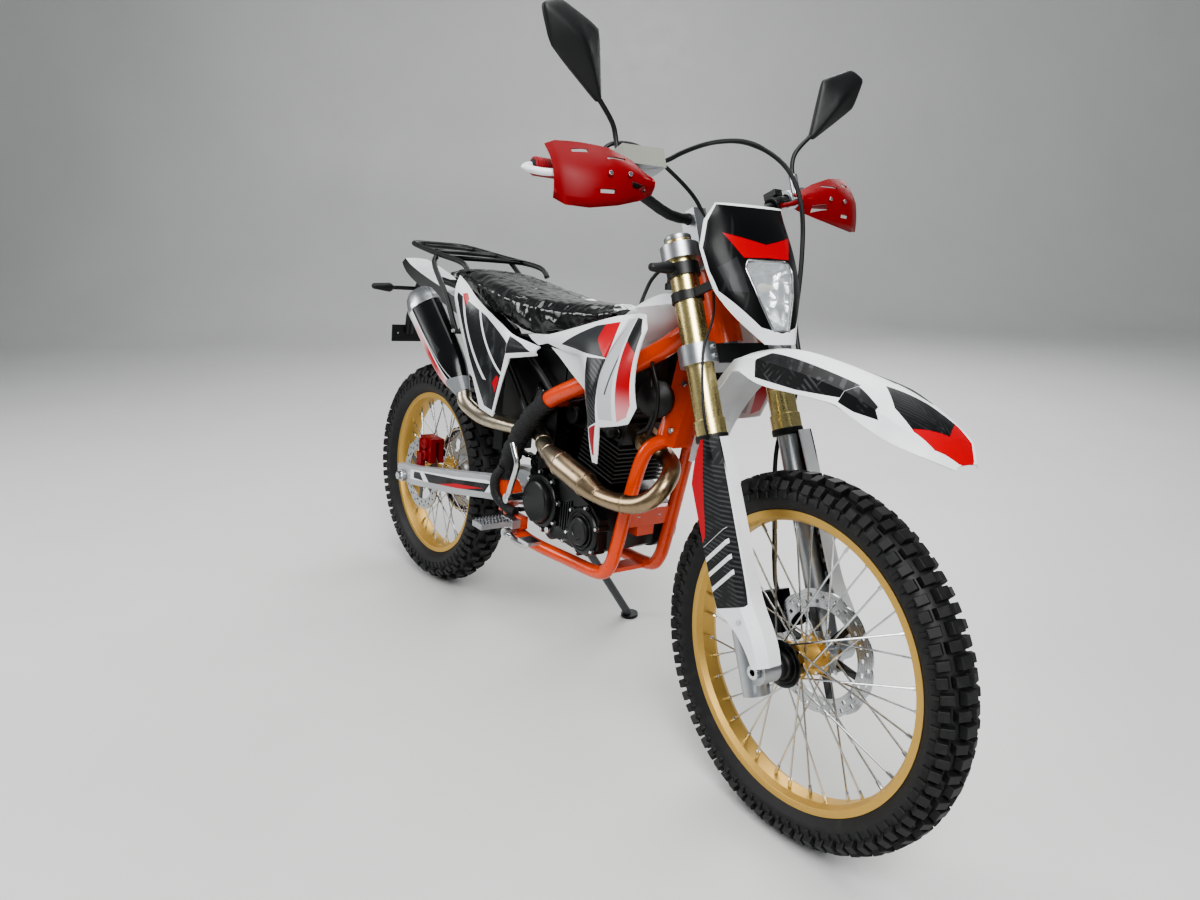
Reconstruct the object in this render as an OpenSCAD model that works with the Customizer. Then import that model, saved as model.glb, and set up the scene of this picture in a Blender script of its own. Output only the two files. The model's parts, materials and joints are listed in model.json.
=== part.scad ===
// Enduro motorcycle parked on its side stand. Millimetres, X forward, Y left, Z up.
// Pieces are drawn on the upright machine, rear axle over X = 0, then leaned and centred.

/* [Stance] */
// distance between the axles
wheelbase = 1420; // [1380:5:1460]
// lean to the left on the stand, degrees
lean = 8; // [6:0.5:10]
// handlebar angle at rest, degrees, negative to the right
steer_rest = -3; // [-8:0.5:8]
// steering head angle from the vertical, degrees
rake = 24; // [22:0.5:28]

/* [Wheels] */
// front tyre radius out to the lugs
front_tyre_r = 350; // [340:1:356]
// front tyre section width
front_tyre_w = 88; // [80:1:94]
// front rim flange radius
front_rim_r = 280; // [276:1:284]
// rear tyre radius out to the lugs
rear_tyre_r = 330; // [322:1:336]
// rear tyre section width
rear_tyre_w = 112; // [104:1:118]
// rear rim flange radius
rear_rim_r = 243; // [239:1:246]
// lug height
lug_h = 12; // [8:1:14]
// Half width of the crown row of lugs
crown_half = 15; // [12:1:18]
// Lugs round the front tyre
front_lugs = 26; // [22:1:32]
// Lugs round the rear tyre
rear_lugs = 24; // [20:1:28]
// spokes in each wheel
spoke_count = 36; // [28:4:36]
// spoke radius
spoke_r = 2; // [1.6:0.1:2.6]

/* [Fork] */
// distance between the fork legs
fork_spread = 200; // [190:2:210]
// fork legs ahead of the steering axis
fork_offset = 24; // [20:1:28]
// wheel axle ahead of the fork legs
axle_lead = 28; // [24:1:32]
// outer fork tube radius
fork_r = 27; // [25:0.5:29]
// inner fork slider radius
slider_r = 21.5; // [20:0.5:23]

/* [Handlebar] */
// half width of the bare bar
bar_half = 395; // [380:5:405]
// bar tube radius
bar_r = 11; // [10:0.5:12]

/* [Frame] */
// main spar radius
spar_r = 20; // [17:0.5:22]
// cradle tube radius
cradle_r = 15; // [12:0.5:16]
// height of the swingarm pivot
pivot_z = 435; // [425:1:445]
// swingarm pivot ahead of the rear axle
pivot_x = 560; // [550:2:570]

/* [Brakes and drive] */
// front disc radius
front_disc_r = 122; // [110:1:128]
// rear disc radius
rear_disc_r = 108; // [100:1:114]
// chain line left of the centre plane
chain_y = 75; // [72:0.5:78]
// front axle bore radius
front_bore_r = 6; // [4:0.5:7]
// rear axle bore radius
rear_bore_r = 7; // [4:0.5:8]

/* [Bodywork] */
// moulded panel thickness
skin = 3.5; // [2.5:0.5:5]
// number plate bolt circle
plate_pcd = 70; // [60:2:80]
// number plate bolt hole radius
plate_hole_r = 3.3; // [2.5:0.1:4]

/* [Hidden] */
$fn = 48;
// gap between pieces that meet
gap = 0.3;
// place of the lowest, middle point of the parked machine
centre_x = wheelbase / 2 + 9.955;
centre_y = 169.5;
lift = 2.04;
up_f = [-sin(rake), 0, cos(rake)];
fw_f = [cos(rake), 0, sin(rake)];
axle_f = [wheelbase, 0, front_tyre_r];
axle_r = [0, 0, rear_tyre_r];
steer_foot = axle_f - (axle_lead + fork_offset) * fw_f;
axle_fwd = axle_lead + fork_offset;
leg_y = fork_spread / 2;
// heights along the steering axis
clamp_lo = 566;
clamp_lo_h = 38;
clamp_hi = 770;
clamp_hi_h = 30;
head_lo = clamp_lo + clamp_lo_h + 8;
head_hi = clamp_hi - 8;
bar_f = 17;
bar_s = 860;
crank = [862, 0, 432];
clutch = [702, 0, 456];
peg = [614, 0, 380];

// point on the steering axis, f ahead of it and s along it
function steer_pt(s, f = 0) = steer_foot + s * up_f + f * fw_f;
function unit(v) = v / norm(v);
function sum(v) = v * [for (i = v) 1];
function flat(l) = [for (a = l) for (b = a) b];
function rev(l) = [for (i = [len(l) - 1 : -1 : 0]) l[i]];
function fan(f) = [for (k = [1 : len(f) - 2]) [f[0], f[k], f[k + 1]]];
function volume(p, f) = sum([for (t = flat([for (a = f) fan(a)])) p[t[0]] * cross(p[t[1]], p[t[2]])]);
// share of a pitch that brings a crown lug of n under the axle of a wheel tilted back by a
function lug_at(n, a) = let (k = (270 - a) * n / 360) k - floor(k);
// smooth run through points, k steps to each span
function run(p, k) = let (n = len(p) - 1) [
  for (i = [0 : n - 1]) for (j = [0 : k - 1]) let (t = j / k, a = p[max(i - 1, 0)], b = p[i],
    c = p[i + 1], d = p[min(i + 2, n)])
    0.5 * (2 * b + (c - a) * t + (2 * a - 5 * b + 4 * c - d) * t * t
      + (3 * b - a - 3 * c + d) * t * t * t),
  p[n]];

// closed solid from points and faces, turned outside out
module solid(p, f) {
  polyhedron(p, volume(p, f) < 0 ? f : [for (a = f) rev(a)]);
}

// solid through a row of closed rings
module loft(rings) {
  n = len(rings[0]);
  m = len(rings);
  solid(flat(rings), concat([[for (j = [0 : n - 1]) j]],
    flat([for (i = [0 : m - 2]) for (j = [0 : n - 1]) let (k = (j + 1) % n, a = i * n, b = a + n)
      [[a + j, b + j, b + k], [a + j, b + k, a + k]]]),
    [[for (j = [n - 1 : -1 : 0]) (m - 1) * n + j]]));
}

// round bar of radius r, or of a radius for each point, along a path
module tube(path, r, n = 12, ref = [0, 1, 0]) {
  m = len(path) - 1;
  loft([for (i = [0 : m]) let (t = unit(path[min(i + 1, m)] - path[max(i - 1, 0)]),
    u = unit(cross(t, ref)), v = cross(t, u), q = is_list(r) ? r[i] : r)
    [for (j = [0 : n - 1]) path[i] + q * (cos(j * 360 / n) * u + sin(j * 360 / n) * v)]]);
}

// moulded skin over a grid of points, thickness t behind them
module skin_of(g, t) {
  m = len(g) - 1;
  n = len(g[0]) - 1;
  w = n + 1;
  q = (m + 1) * w;
  back = [for (i = [0 : m]) for (j = [0 : n]) let (
    a = g[min(i + 1, m)][j] - g[max(i - 1, 0)][j],
    b = g[i][min(j + 1, n)] - g[i][max(j - 1, 0)]) g[i][j] - t * unit(cross(a, b))];
  solid(concat(flat(g), back), concat(
    flat([for (i = [0 : m - 1]) for (j = [0 : n - 1]) let (a = i * w + j)
      [[a, a + 1, a + w], [a + 1, a + w + 1, a + w],
       [q + a, q + a + w, q + a + 1], [q + a + 1, q + a + w, q + a + w + 1]]]),
    flat([for (i = [0 : m - 1]) let (a = i * w, b = i * w + n)
      [[a, a + w, q + a], [a + w, q + a + w, q + a], [b, q + b, b + w], [b + w, q + b, q + b + w]]]),
    flat([for (j = [0 : n - 1]) let (a = j, b = m * w + j)
      [[a, q + a, a + 1], [a + 1, q + a, q + a + 1], [b, b + 1, q + b], [b + 1, q + b + 1, q + b]]])));
}

module leaned() {
  translate([-centre_x, -centre_y, lift])
    rotate([-lean, 0, 0])
      children();
}

// in the frame of the steering axis: X ahead, Y left, Z along the axis
module on_stem() {
  translate(steer_foot)
    rotate([0, -rake, 0])
      rotate([0, 0, steer_rest])
        children();
}

// drawn from the front axle with the bars straight, turned with them
module on_fork() {
  on_stem()
    rotate([0, rake, 0])
      translate(axle_f - steer_foot)
        children();
}

module both() {
  children();
  mirror([0, 1, 0]) children();
}

// cylinder lying across the machine between two Y values
module across(r, y0, y1) {
  translate([0, y1, 0])
    rotate([90, 0, 0])
      cylinder(r = r, h = y1 - y0);
}

// turned so that Z runs along d
module on_axis(d) {
  rotate([0, acos(d[2] / norm(d)), atan2(d[1], d[0])])
    children();
}

// closed hoop through a ring of sections
module hoop(rings) {
  n = len(rings[0]);
  m = len(rings);
  solid(flat(rings), flat([for (i = [0 : m - 1]) for (j = [0 : n - 1])
    let (k = (j + 1) % n, a = i * n, b = ((i + 1) % m) * n)
      [[a + j, b + j, b + k], [a + j, b + k, a + k]]]));
}

// ring of lugs between two Y values, standing to radius r from a root inside the carcass
module lug_row(r, root, depth, y0, y1, n, shift) {
  pitch = 360 / n;
  translate([0, y1, 0])
    rotate([90, 0, 0])
      linear_extrude(y1 - y0)
        polygon(concat(
          [for (i = [0 : n - 1]) for (c = [[-0.25, root], [-0.21, r], [0.21, r], [0.25, root]])
            let (t = (i + shift + c[0]) * pitch) [c[1] * cos(t), c[1] * sin(t)]],
          [for (i = [0 : n - 1]) [(root - depth) * cos(i * pitch), (root - depth) * sin(i * pitch)]]),
          [[for (i = [0 : 4 * n - 1]) i], [for (i = [0 : n - 1]) 4 * n + i]]);
}

// carcass seated on a rim, with a crown row and two shoulder rows of n lugs
module tyre(r, w, rim_r, rim_w, n, shift) {
  turn = 106;
  half_w = w / 2 - 3;
  crown = r - lug_h;
  seat = (rim_r + gap) / cos(180 / n);
  wall = crown - seat;
  half_h = 0.93 * wall / (1 - cos(turn));
  mid = crown - half_h;
  profile = concat([[seat, 2 - rim_w / 2]],
    [for (k = [-3 : 3]) [mid + half_h * cos(turn * k / 3), half_w * sin(turn * k / 3)]],
    [[seat, rim_w / 2 - 2]]);
  union() {
    hoop([for (i = [0 : n - 1]) let (t = (i + 0.5) * 360 / n)
      [for (q = profile) [q[0] * cos(t), q[1], q[0] * sin(t)]]]);
    lug_row(r, crown - 0.14 * wall, 0.14 * wall, -crown_half, crown_half, n, shift);
    both()
      lug_row(r - 0.1 * w, mid + 0.2 * half_h, 0.14 * wall, 0.19 * w, 0.43 * w, n, shift + 0.5);
  }
}

module rim(rim_r, rim_w) {
  well = 16;
  rotate([90, 0, 0])
    rotate_extrude($fn = 96)
      polygon([[rim_r, -rim_w / 2], [rim_r, -rim_w / 2 + 4], [rim_r - 11, -rim_w / 2 + 6],
        [rim_r - well, -rim_w / 4], [rim_r - well, rim_w / 4], [rim_r - 11, rim_w / 2 - 6],
        [rim_r, rim_w / 2 - 4], [rim_r, rim_w / 2], [rim_r - 14, rim_w / 2],
        [rim_r - well - 5, rim_w / 4 + 2], [rim_r - well - 5, -rim_w / 4 - 2],
        [rim_r - 14, -rim_w / 2]]);
}

// hub barrel with two flanges and crossed spokes out to the rim
module hub(flange_r, flange_y, core_r, bore_r, half_l, rim_r) {
  reach = rim_r - 19;
  difference() {
    union() {
      across(core_r, -flange_y, flange_y);
      both()
        translate([0, flange_y, 0])
          across(flange_r, -3, 3);
      across(core_r * 0.72, -half_l, half_l);
      for (i = [0 : spoke_count - 1]) {
        a = i * 360 / spoke_count;
        side = i % 2 == 0 ? 1 : -1;
        lace = floor(i / 2) % 2 == 0 ? 1 : -1;
        turn = lace * 62;
        p = [(flange_r - 5) * cos(a + turn), side * (flange_y + 4.2 * lace),
          (flange_r - 5) * sin(a + turn)];
        e = [reach * cos(a), side * 4, reach * sin(a)];
        d = e - p;
        translate(p)
          on_axis(d)
            cylinder(r = spoke_r, h = norm(d), $fn = 8);
      }
    }
    across(bore_r, -half_l - 1, half_l + 1);
  }
}

// scalloped brake disc with slots, on a bolted carrier
module disc(r, t, waves, bore_r) {
  rotate([90, 0, 0])
    translate([0, 0, -t / 2])
      linear_extrude(t)
        difference() {
          polygon([for (i = [0 : 6 * waves - 1]) let (a = i * 60 / waves,
            q = r - 2.5 + 2.5 * cos(waves * a)) [q * cos(a), q * sin(a)]]);
          for (i = [0 : waves - 1])
            rotate(i * 360 / waves)
              translate([r - 17, 0])
                circle(r = 5, $fn = 16);
          for (i = [0 : 5])
            rotate(i * 60)
              translate([r * 0.62, 0])
                circle(r = r * 0.19, $fn = 24);
          circle(r = bore_r);
        }
}

module front_wheel_at() {
  on_stem()
    translate([axle_fwd, 0, 0])
      children();
}

module front_tyre() {
  color("#1b1b1c")
    front_wheel_at()
      tyre(front_tyre_r, front_tyre_w, front_rim_r, 54, front_lugs, lug_at(front_lugs, rake));
}

module front_rim() {
  color("#a58a4c") front_wheel_at() rim(front_rim_r, 54);
}

module front_hub() {
  color("#a58a4c") front_wheel_at() hub(38, 30, 22, 9.9 + 0.05, 48, front_rim_r);
}

module front_disc() {
  color("#b9bcbf")
    front_wheel_at()
      translate([0, 52, 0])
        union() {
          disc(front_disc_r, 4, 12, 16);
          difference() {
            translate([0, -2, 0])
              across(34, -1.7, 4);
            across(16, -20, 20);
          }
        }
}

module front_axle() {
  color("#c8cacc")
    front_wheel_at()
      difference() {
        union() {
          across(9.9, -126, 126);
          both() translate([0, 124, 0]) across(13, 0, 4);
        }
        across(front_bore_r, -140, 140);
      }
}

module fork_tubes() {
  color("#b59a5f")
    on_stem()
      both()
        translate([fork_offset, leg_y, 428])
          union() {
            cylinder(r = fork_r, h = 380);
            cylinder(r = fork_r + 3, h = 34);
          }
}

module fork_sliders() {
  color("#9fa3a6")
    on_stem()
      both()
        difference() {
          union() {
            translate([fork_offset, leg_y, 60])
              cylinder(r = slider_r, h = 428 - 60 - gap);
            translate([fork_offset, leg_y, -46])
              cylinder(r = slider_r + 4, h = 120);
            translate([axle_fwd, leg_y, 0])
              across(25, -20, 20);
            translate([fork_offset, leg_y - 14, -25])
              cube([axle_lead, 28, 50]);
          }
          translate([axle_fwd, leg_y, 0])
            across(9.9 + 0.05, -40, 40);
        }
}

// outer face of the fork guard: height, rear edge, front edge
module fork_guards() {
  rows = [[424, 30, 62], [396, 6, 64], [350, -16, 66], [250, -14, 68], [150, -10, 70],
    [112, -4, 74], [80, 32, 84], [40, 52, 92], [8, 60, 88]];
  y0 = leg_y + 35;
  color("#eceef0")
    on_stem()
      both() {
        skin_of([for (r = rows) [[r[1], y0 - 6, r[0]], [r[1] + 5, y0, r[0]],
          [r[2] - 14, y0, r[0]], [r[2], y0 - 14, r[0]], [r[2] - 2, y0 - 44, r[0]]]], skin);
        for (s = [130, 300])
          translate([fork_offset, leg_y, s])
            difference() {
              translate([0, -4, 0])
                cube([16, 40.5, 14]);
              translate([0, 0, -1])
                cylinder(r = slider_r + gap, h = 16);
            }
      }
}

module clamp_plate(z, h, ahead) {
  difference() {
    union() {
      both()
        translate([fork_offset, leg_y, z])
          cylinder(r = fork_r + 10, h = h);
      translate([-12, -leg_y, z])
        cube([12 + ahead, fork_spread, h]);
      translate([0, 0, z])
        cylinder(r = 40, h = h);
    }
    both() {
      translate([fork_offset, leg_y, z - 1])
        cylinder(r = fork_r + gap, h = h + 2);
      translate([fork_offset + 26, 44, z - 1])
        cube([60, 26, h + 2]);
    }
  }
}

module triple_clamps() {
  color("#c9ccd0")
    on_stem()
      union() {
        clamp_plate(clamp_lo, clamp_lo_h, 44);
        clamp_plate(clamp_hi, clamp_hi_h, 36);
        translate([0, 0, clamp_lo + 1])
          cylinder(r = 24 - gap, h = clamp_hi - clamp_lo + clamp_hi_h + 8);
        both()
          translate([bar_f, 42, clamp_hi + clamp_hi_h - 1])
            difference() {
              translate([-20, -16, 0])
                cube([40, 32, bar_s - clamp_hi - clamp_hi_h + 18]);
              translate([0, 0, bar_s - clamp_hi - clamp_hi_h + 1])
                across(bar_r + gap, -20, 20);
            }
      }
}

module front_caliper() {
  color("#6d7073")
    on_stem()
      union() {
        difference() {
          translate([-78, 38, 40])
            cube([52, 40, 82]);
          translate([-69, 52 - 5, 30])
            cube([70, 10, 100]);
        }
        translate([-50, 60, 50])
          cube([47, 18, 30]);
        translate([-20, 70, 52])
          cube([19, 22, 20]);
      }
}

// centre line of the front fender from the axle: ahead, up, half width, side drop ahead, side drop up
module front_fender() {
  rows = [[-338, 292, 34, 16, 4], [-318, 372, 42, 20, 0], [-284, 448, 50, 22, -8],
    [-252, 492, 55, 16, -22], [-212, 530, 62, 6, -28], [-170, 546, 78, 0, -36],
    [-110, 553, 88, 0, -60], [-20, 543, 92, 0, -44], [72, 528, 94, 0, -30], [104, 521, 90, 0, -38],
    [176, 496, 80, 0, -40], [226, 468, 60, 0, -22], [256, 438, 28, 0, -6]];
  across_y = [[-1, 1], [-0.86, 0.28], [-0.45, 0.02], [-0.16, -0.06], [0.16, -0.06], [0.45, 0.02],
    [0.86, 0.28], [1, 1]];
  color("#eceef0")
    on_fork()
      skin_of([for (r = rows) [for (c = across_y)
        [r[0] + r[3] * c[1], r[2] * c[0], r[1] + r[4] * c[1]]]], -skin);
}

// mask rows from the axle: up, side edge ahead, half width, crown ahead
mask_rows = [[560, -156, 38, -148], [600, -196, 76, -162], [642, -228, 106, -176],
  [682, -250, 114, -194], [722, -270, 118, -218], [770, -284, 102, -240], [803, -280, 84, -268]];
mask_cols = [[-1, 0], [-0.82, 0.55], [-0.5, 0.86], [-0.2, 0.98], [0.2, 0.98], [0.5, 0.86],
  [0.82, 0.55], [1, 0]];

module mask_skin(ahead, t) {
  skin_of([for (r = mask_rows) [for (c = mask_cols)
    [r[1] + (r[3] - r[1]) * c[1] + ahead, r[2] * c[0], r[0]]]], t);
}

// front outline of the lamp, across and up from the axle
module lamp_outline(grow) {
  translate([-400, 0, 0])
    rotate([90, 0, 90])
      linear_extrude(400)
        polygon([[-20 - grow, 584 - grow], [20 + grow, 584 - grow], [44 + grow, 640],
          [60 + grow, 690], [50 + grow, 708 + grow], [-50 - grow, 708 + grow], [-60 - grow, 690],
          [-44 - grow, 640]]);
}

module mask() {
  color("#e6e8ea")
    on_fork()
      union() {
        difference() {
          mask_skin(0, skin);
          lamp_outline(0.6);
        }
        translate(steer_foot - axle_f)
          rotate([0, -rake, 0])
            both() {
              difference() {
                translate([fork_offset, leg_y, 690])
                  cylinder(r = fork_r + 4, h = 18);
                translate([fork_offset, leg_y, 680])
                  cylinder(r = fork_r + gap, h = 40);
              }
              translate([52, leg_y + 1, 691])
                cube([54, 8, 16]);
            }
      }
}

module headlamp() {
  color("#cfd6da")
    on_fork()
      union() {
        intersection() {
          mask_skin(1, 7);
          lamp_outline(0);
        }
      }
}

// grip and control clamp on the straight end of the bar
grip_y = bar_half - 133;
clamp_y = bar_half - 161;
bar_path = [[14, -bar_half, 934], [20, -grip_y, 926], [22, 57 - grip_y, 920], [20, -150, 890], [17, -104, 862],
  [17, -60, bar_s], [17, 60, bar_s], [17, 104, 862], [20, 150, 890], [22, grip_y - 57, 920],
  [20, grip_y, 926], [14, bar_half, 934]];

module handlebar() {
  color("#242526")
    on_stem()
      tube(bar_path, bar_r, 16, [1, 0, 0]);
}

// turned along the straight end of the bar, from its inner end
module on_bar_end() {
  a = bar_path[10];
  d = bar_path[11] - a;
  translate(a)
    on_axis(d)
      children();
}

module grips() {
  color("#a3161b")
    on_stem()
      both()
        on_bar_end()
          difference() {
            union() {
              translate([0, 0, 8])
                cylinder(r = 16, h = 122);
              cylinder(r = 21, h = 8);
            }
            translate([0, 0, -1])
              cylinder(r = bar_r + gap, h = 140);
          }
}

module levers() {
  color("#a9adb0")
    on_stem()
      union() {
        both()
          union() {
            translate([21, clamp_y, 923])
              rotate([6, 0, 0])
                difference() {
                  union() {
                    across(19, -12, 12);
                    translate([0, -12, -12])
                      cube([36, 24, 24]);
                  }
                  across(bar_r + 0.8, -20, 20);
                }
            translate([48, clamp_y - 6, 924])
              cylinder(r = 9, h = 41);
            tube(run([[50, clamp_y - 2, 924], [60, clamp_y + 38, 928], [62, clamp_y + 90, 928],
              [50, clamp_y + 142, 930]], 4), 6.5, 10, [1, 0, 0]);
          }
        translate([38, -clamp_y - 6, 928])
          cube([42, 94, 36]);
      }
}

// guard stations: out, ahead, low, high
module hand_guards() {
  rows = [[188, 90, 874, 908], [232, 104, 852, 928], [284, 108, 838, 944], [336, 98, 834, 954],
    [374, 80, 844, 960], [388, 68, 860, 958]];
  color("#b3181d")
    on_stem()
      both() {
        skin_of([for (r = rows) [for (k = [0 : 4]) let (t = k / 4)
          [r[1] - 16 * pow(2 * t - 1, 2), r[0] + clamp_y - 234, r[2] + (r[3] - r[2]) * t]]], skin);
        tube([[92, clamp_y - 34, 894], [70, clamp_y - 40, 892], [31.2, clamp_y - 48, 900]], 5, 10,
          [0, 0, 1]);
      }
}

module guard_frames() {
  color("#eceef0")
    on_stem()
      both()
        tube([[14, bar_half + 2, 934], [14, bar_half + 12, 933], [22, bar_half + 20, 926],
          [36, bar_half + 16, 915], [48, bar_half - 2, 907], [58, bar_half - 20, 904],
          [68.4, bar_half - 36, 903]], 7, 10, [0, 0, 1]);
}

// mirror head corners: ahead, out from the clamp, along the steering axis, radius
module mirrors() {
  head = [[78, 44, 1046, 9], [112, 142, 1110, 9], [132, 160, 1158, 10], [134, 134, 1168, 10],
    [122, 58, 1142, 9], [126, 96, 1110, 15]];
  color("#1d1e1f")
    on_stem()
      both()
        translate([0, clamp_y, 0]) {
          tube(run([[48, -6, 966.2], [50, -5, 986], [58, 2, 1010], [70, 26, 1034], [82, 52, 1054]], 3), 5,
            10, [1, 0, 0]);
          hull()
            for (p = head)
              translate([p[0], p[1], p[2]])
                sphere(r = p[3], $fn = 10);
        }
}

module front_flashers() {
  color("#1d1e1f")
    on_stem()
      both() {
        difference() {
          translate([fork_offset, leg_y, 738])
            cylinder(r = fork_r + 5, h = 24);
          translate([fork_offset, leg_y, 730])
            cylinder(r = fork_r + gap, h = 40);
        }
        translate([fork_offset + 10, leg_y + 29, 750])
          across(5, 0, 18);
        hull() {
          translate([fork_offset + 16, leg_y + 46, 750])
            sphere(r = 12, $fn = 10);
          translate([fork_offset + 10, leg_y + 82, 752])
            sphere(r = 8, $fn = 10);
        }
      }
}

module brake_hose() {
  path = run([[56, 90.1 - clamp_y, 950], [59, 114 - clamp_y, 955], [66, -84, 972], [86, -20, 990],
    [112, 52, 984], [136, 112, 930],
    [130, 140, 850], [98, 142, 740], [63, 136, 640], [54, 138, 560], [16, 143, 490],
    [-18, 128, 440], [-30, 104, 370], [-40, 80, 240], [-48, 66, 150], [-48, 66, 122.7]], 3);
  color("#18191a")
    on_stem()
      tube(path, 5.5, 6, [1, 0.2, 0]);
}

module rear_wheel_at() {
  translate(axle_r) children();
}

module rear_tyre() {
  color("#1b1b1c")
    rear_wheel_at()
      tyre(rear_tyre_r, rear_tyre_w, rear_rim_r, 66, rear_lugs, lug_at(rear_lugs, 0));
}

module rear_rim() {
  color("#a58a4c") rear_wheel_at() rim(rear_rim_r, 66);
}

module rear_hub() {
  color("#a58a4c") rear_wheel_at() hub(48, 30.5, 32, 11.9 + 0.05, 62, rear_rim_r);
}

module rear_disc() {
  color("#b9bcbf")
    rear_wheel_at()
      translate([0, -66, 0])
        union() {
          disc(rear_disc_r, 4, 10, 24);
          difference() {
            across(36, -2, 28.7);
            across(23.3, -30, 30);
          }
        }
}

// teeth stay inside the chain's rollers
module sprocket() {
  color("#8f9396")
    rear_wheel_at()
      translate([0, chain_y, 0])
        union() {
          rotate([90, 0, 0])
            translate([0, 0, -3.5])
              linear_extrude(7)
                difference() {
                  polygon([for (i = [0 : 199]) let (a = i * 1.8, q = (i % 5 < 2) ? 118 : 113)
                    [q * cos(a), q * sin(a)]]);
                  for (i = [0 : 5])
                    rotate(i * 60)
                      translate([78, 0])
                        circle(r = 22, $fn = 24);
                  circle(r = 24);
                }
          difference() {
            across(46, 37 + gap - chain_y, -3);
            across(23.3, -60, 30);
          }
        }
}

module rear_axle() {
  color("#c8cacc")
    rear_wheel_at()
      difference() {
        union() {
          across(11.9, -136, 136);
          both() translate([0, 127, 0]) across(18, 0, 10);
        }
        across(rear_bore_r, -150, 150);
      }
}

// side stand hinge, foot on the floor, and the way the leg folds
stand_hinge = [556, 120, 290];
stand_foot = [592, 300, (300 * sin(lean) - lift) / cos(lean)];
stand_fold = [-285, 10, 20];
stand_axis = unit(cross(stand_foot - stand_hinge, stand_fold));
stand_up = unit([0, 0, 1] - stand_axis[2] * stand_axis);

spar_path = run([steer_pt(664, -40) + [0, 28, 0], [982, 74, 842], [806, 106, 752], [694, 114, 692],
  [606, 118, 604], [552, 118, 496], [562, 118, 392]], 4);
cradle_path = run([[1018, 34, 672], [990, 62, 640], [964, 70, 530], [942, 72, 420], [926, 73, 366],
  [892, 75, 338], [780, 80, 331], [650, 98, 334], [592, 110, 356], [566, 116, 396]], 4);

module frame() {
  color("#d9631e")
    difference() {
      frame_body();
      translate([pivot_x, 0, pivot_z])
        across(10.2, -160, 160);
    }
}

module frame_body() {
    union() {
      translate(steer_foot)
        rotate([0, -rake, 0])
          difference() {
            translate([0, 0, head_lo])
              cylinder(r = 33, h = head_hi - head_lo);
            translate([0, 0, head_lo - 1])
              cylinder(r = 24, h = head_hi - head_lo + 2);
          }
      both() {
        tube(spar_path, spar_r, 12);
        tube(cradle_path, cradle_r, 12);
        translate([pivot_x, 107, pivot_z])
          difference() {
            across(36, -8, 14);
            across(10.2, -20, 20);
          }
        translate([peg[0] - 30, 106, peg[2] - 16])
          cube([56, 20, 30]);
      }
      loft([for (r = [[steer_pt(676, -40), 30, 16],
        [steer_pt(612, -84), 34, 20], [[1046, 0, 760], 40, 28], [[1026, 0, 664], 46, 30]])
        [[r[0][0] - r[2], -r[1], r[0][2]], [r[0][0] + r[2], -r[1], r[0][2]],
         [r[0][0] + r[2], r[1], r[0][2]], [r[0][0] - r[2], r[1], r[0][2]]]]);
      translate([940, -70, 462])
        rotate([0, 12, 0])
          cube([12, 140, 44]);
      translate([908.5, -24, 436])
        cube([40, 48, 34]);
      translate([846, -78, 326])
        cube([40, 156, 10]);
      translate([700, 0, 694])
        across(15, -112, 112);
      translate([640, 100, 326])
        rotate([0, -60, 0])
          cube([14, 24, 14]);
      translate(stand_hinge)
        on_axis(stand_axis)
          translate([0, 0, -32])
            cylinder(r = 17, h = 32 - 13 - gap);
      tube([stand_hinge - 24 * stand_axis, stand_hinge - 24 * stand_axis + 62 * stand_up,
        [576, 110, 372]], 9, 10);
    }
}

module subframe() {
  color("#2a2b2c")
    both() {
      tube(run([[685.4, 86, 699.6], [560, 82, 778], [400, 74, 848.2], [290, 70, 880.2], [160, 66, 902.2],
        [60, 64, 910.2]], 3), 10, 10);
      tube(run([[584, 94, 640], [470, 78, 730], [330, 70, 826], [230, 68, 884]], 3), 9, 10);
      translate([72, 0, 908])
        across(7, -1, 60);
    }
}

module crankcase() {
  color("#232425")
    union() {
      difference() {
        translate([0, 80, 0])
          rotate([90, 0, 0])
            linear_extrude(160)
              polygon([[604, 400], [606, 486], [650, 530], [760, 548], [836, 548], [898, 524],
                [908, 440], [894, 390], [850, 366], [660, 364]]);
        translate([590, chain_y - 15, 360])
          cube([104, 60, 200]);
      }
      translate([640, 0, 437])
        across(14, chain_y - 16, chain_y + 8);
      translate([640, 0, 437])
        across(29.4, chain_y - 3.5, chain_y + 3.5);
      translate([crank[0], 0, crank[2]])
        across(58, 79, 122);
      translate([crank[0], 0, crank[2]])
        across(40, 120, 130);
      translate([752, 0, 452])
        across(40, 79, 104);
      translate([690, 0, 404])
        across(9, 79, 118);
    }
}

module clutch_cover() {
  color("#1e1f20")
    union() {
      translate([clutch[0], 0, clutch[2]])
        across(62, -122, -80 - gap);
      translate([clutch[0], 0, clutch[2]])
        across(50, -138, -120);
      translate([crank[0], 0, crank[2]])
        across(50, -116, -80 - gap);
      translate([crank[0], 0, crank[2]])
        across(36, -126, -115);
      translate([0, -80 - gap, 0])
        rotate([90, 0, 0])
          linear_extrude(26)
            polygon([[690, 395], [880, 386], [880, 478], [720, 517]]);
    }
}

// cylinder stands on the crankcase, tipped forward
module cylinder_at() {
  translate([836, 0, 548 + gap])
    rotate([0, 12, 0])
      children();
}

module cylinder_node() {
  color("#1f2021")
    union() {
      difference() {
        cylinder_at()
          union() {
            translate([-46, -50, -12])
              cube([92, 100, 150]);
            for (i = [0 : 8])
              translate([-66, -74, 14 + i * 10])
                cube([132, 148, 4]);
            translate([-58, -64, 104])
              cube([118, 128, 52]);
            translate([-44, -52, 150])
              cube([92, 104, 22]);
          }
        translate([700, -100, 500])
          cube([300, 200, 48 + gap]);
      }
    }
}

muffler_a = [352, -140, 642];
muffler_b = [132, -164, 862];

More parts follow.
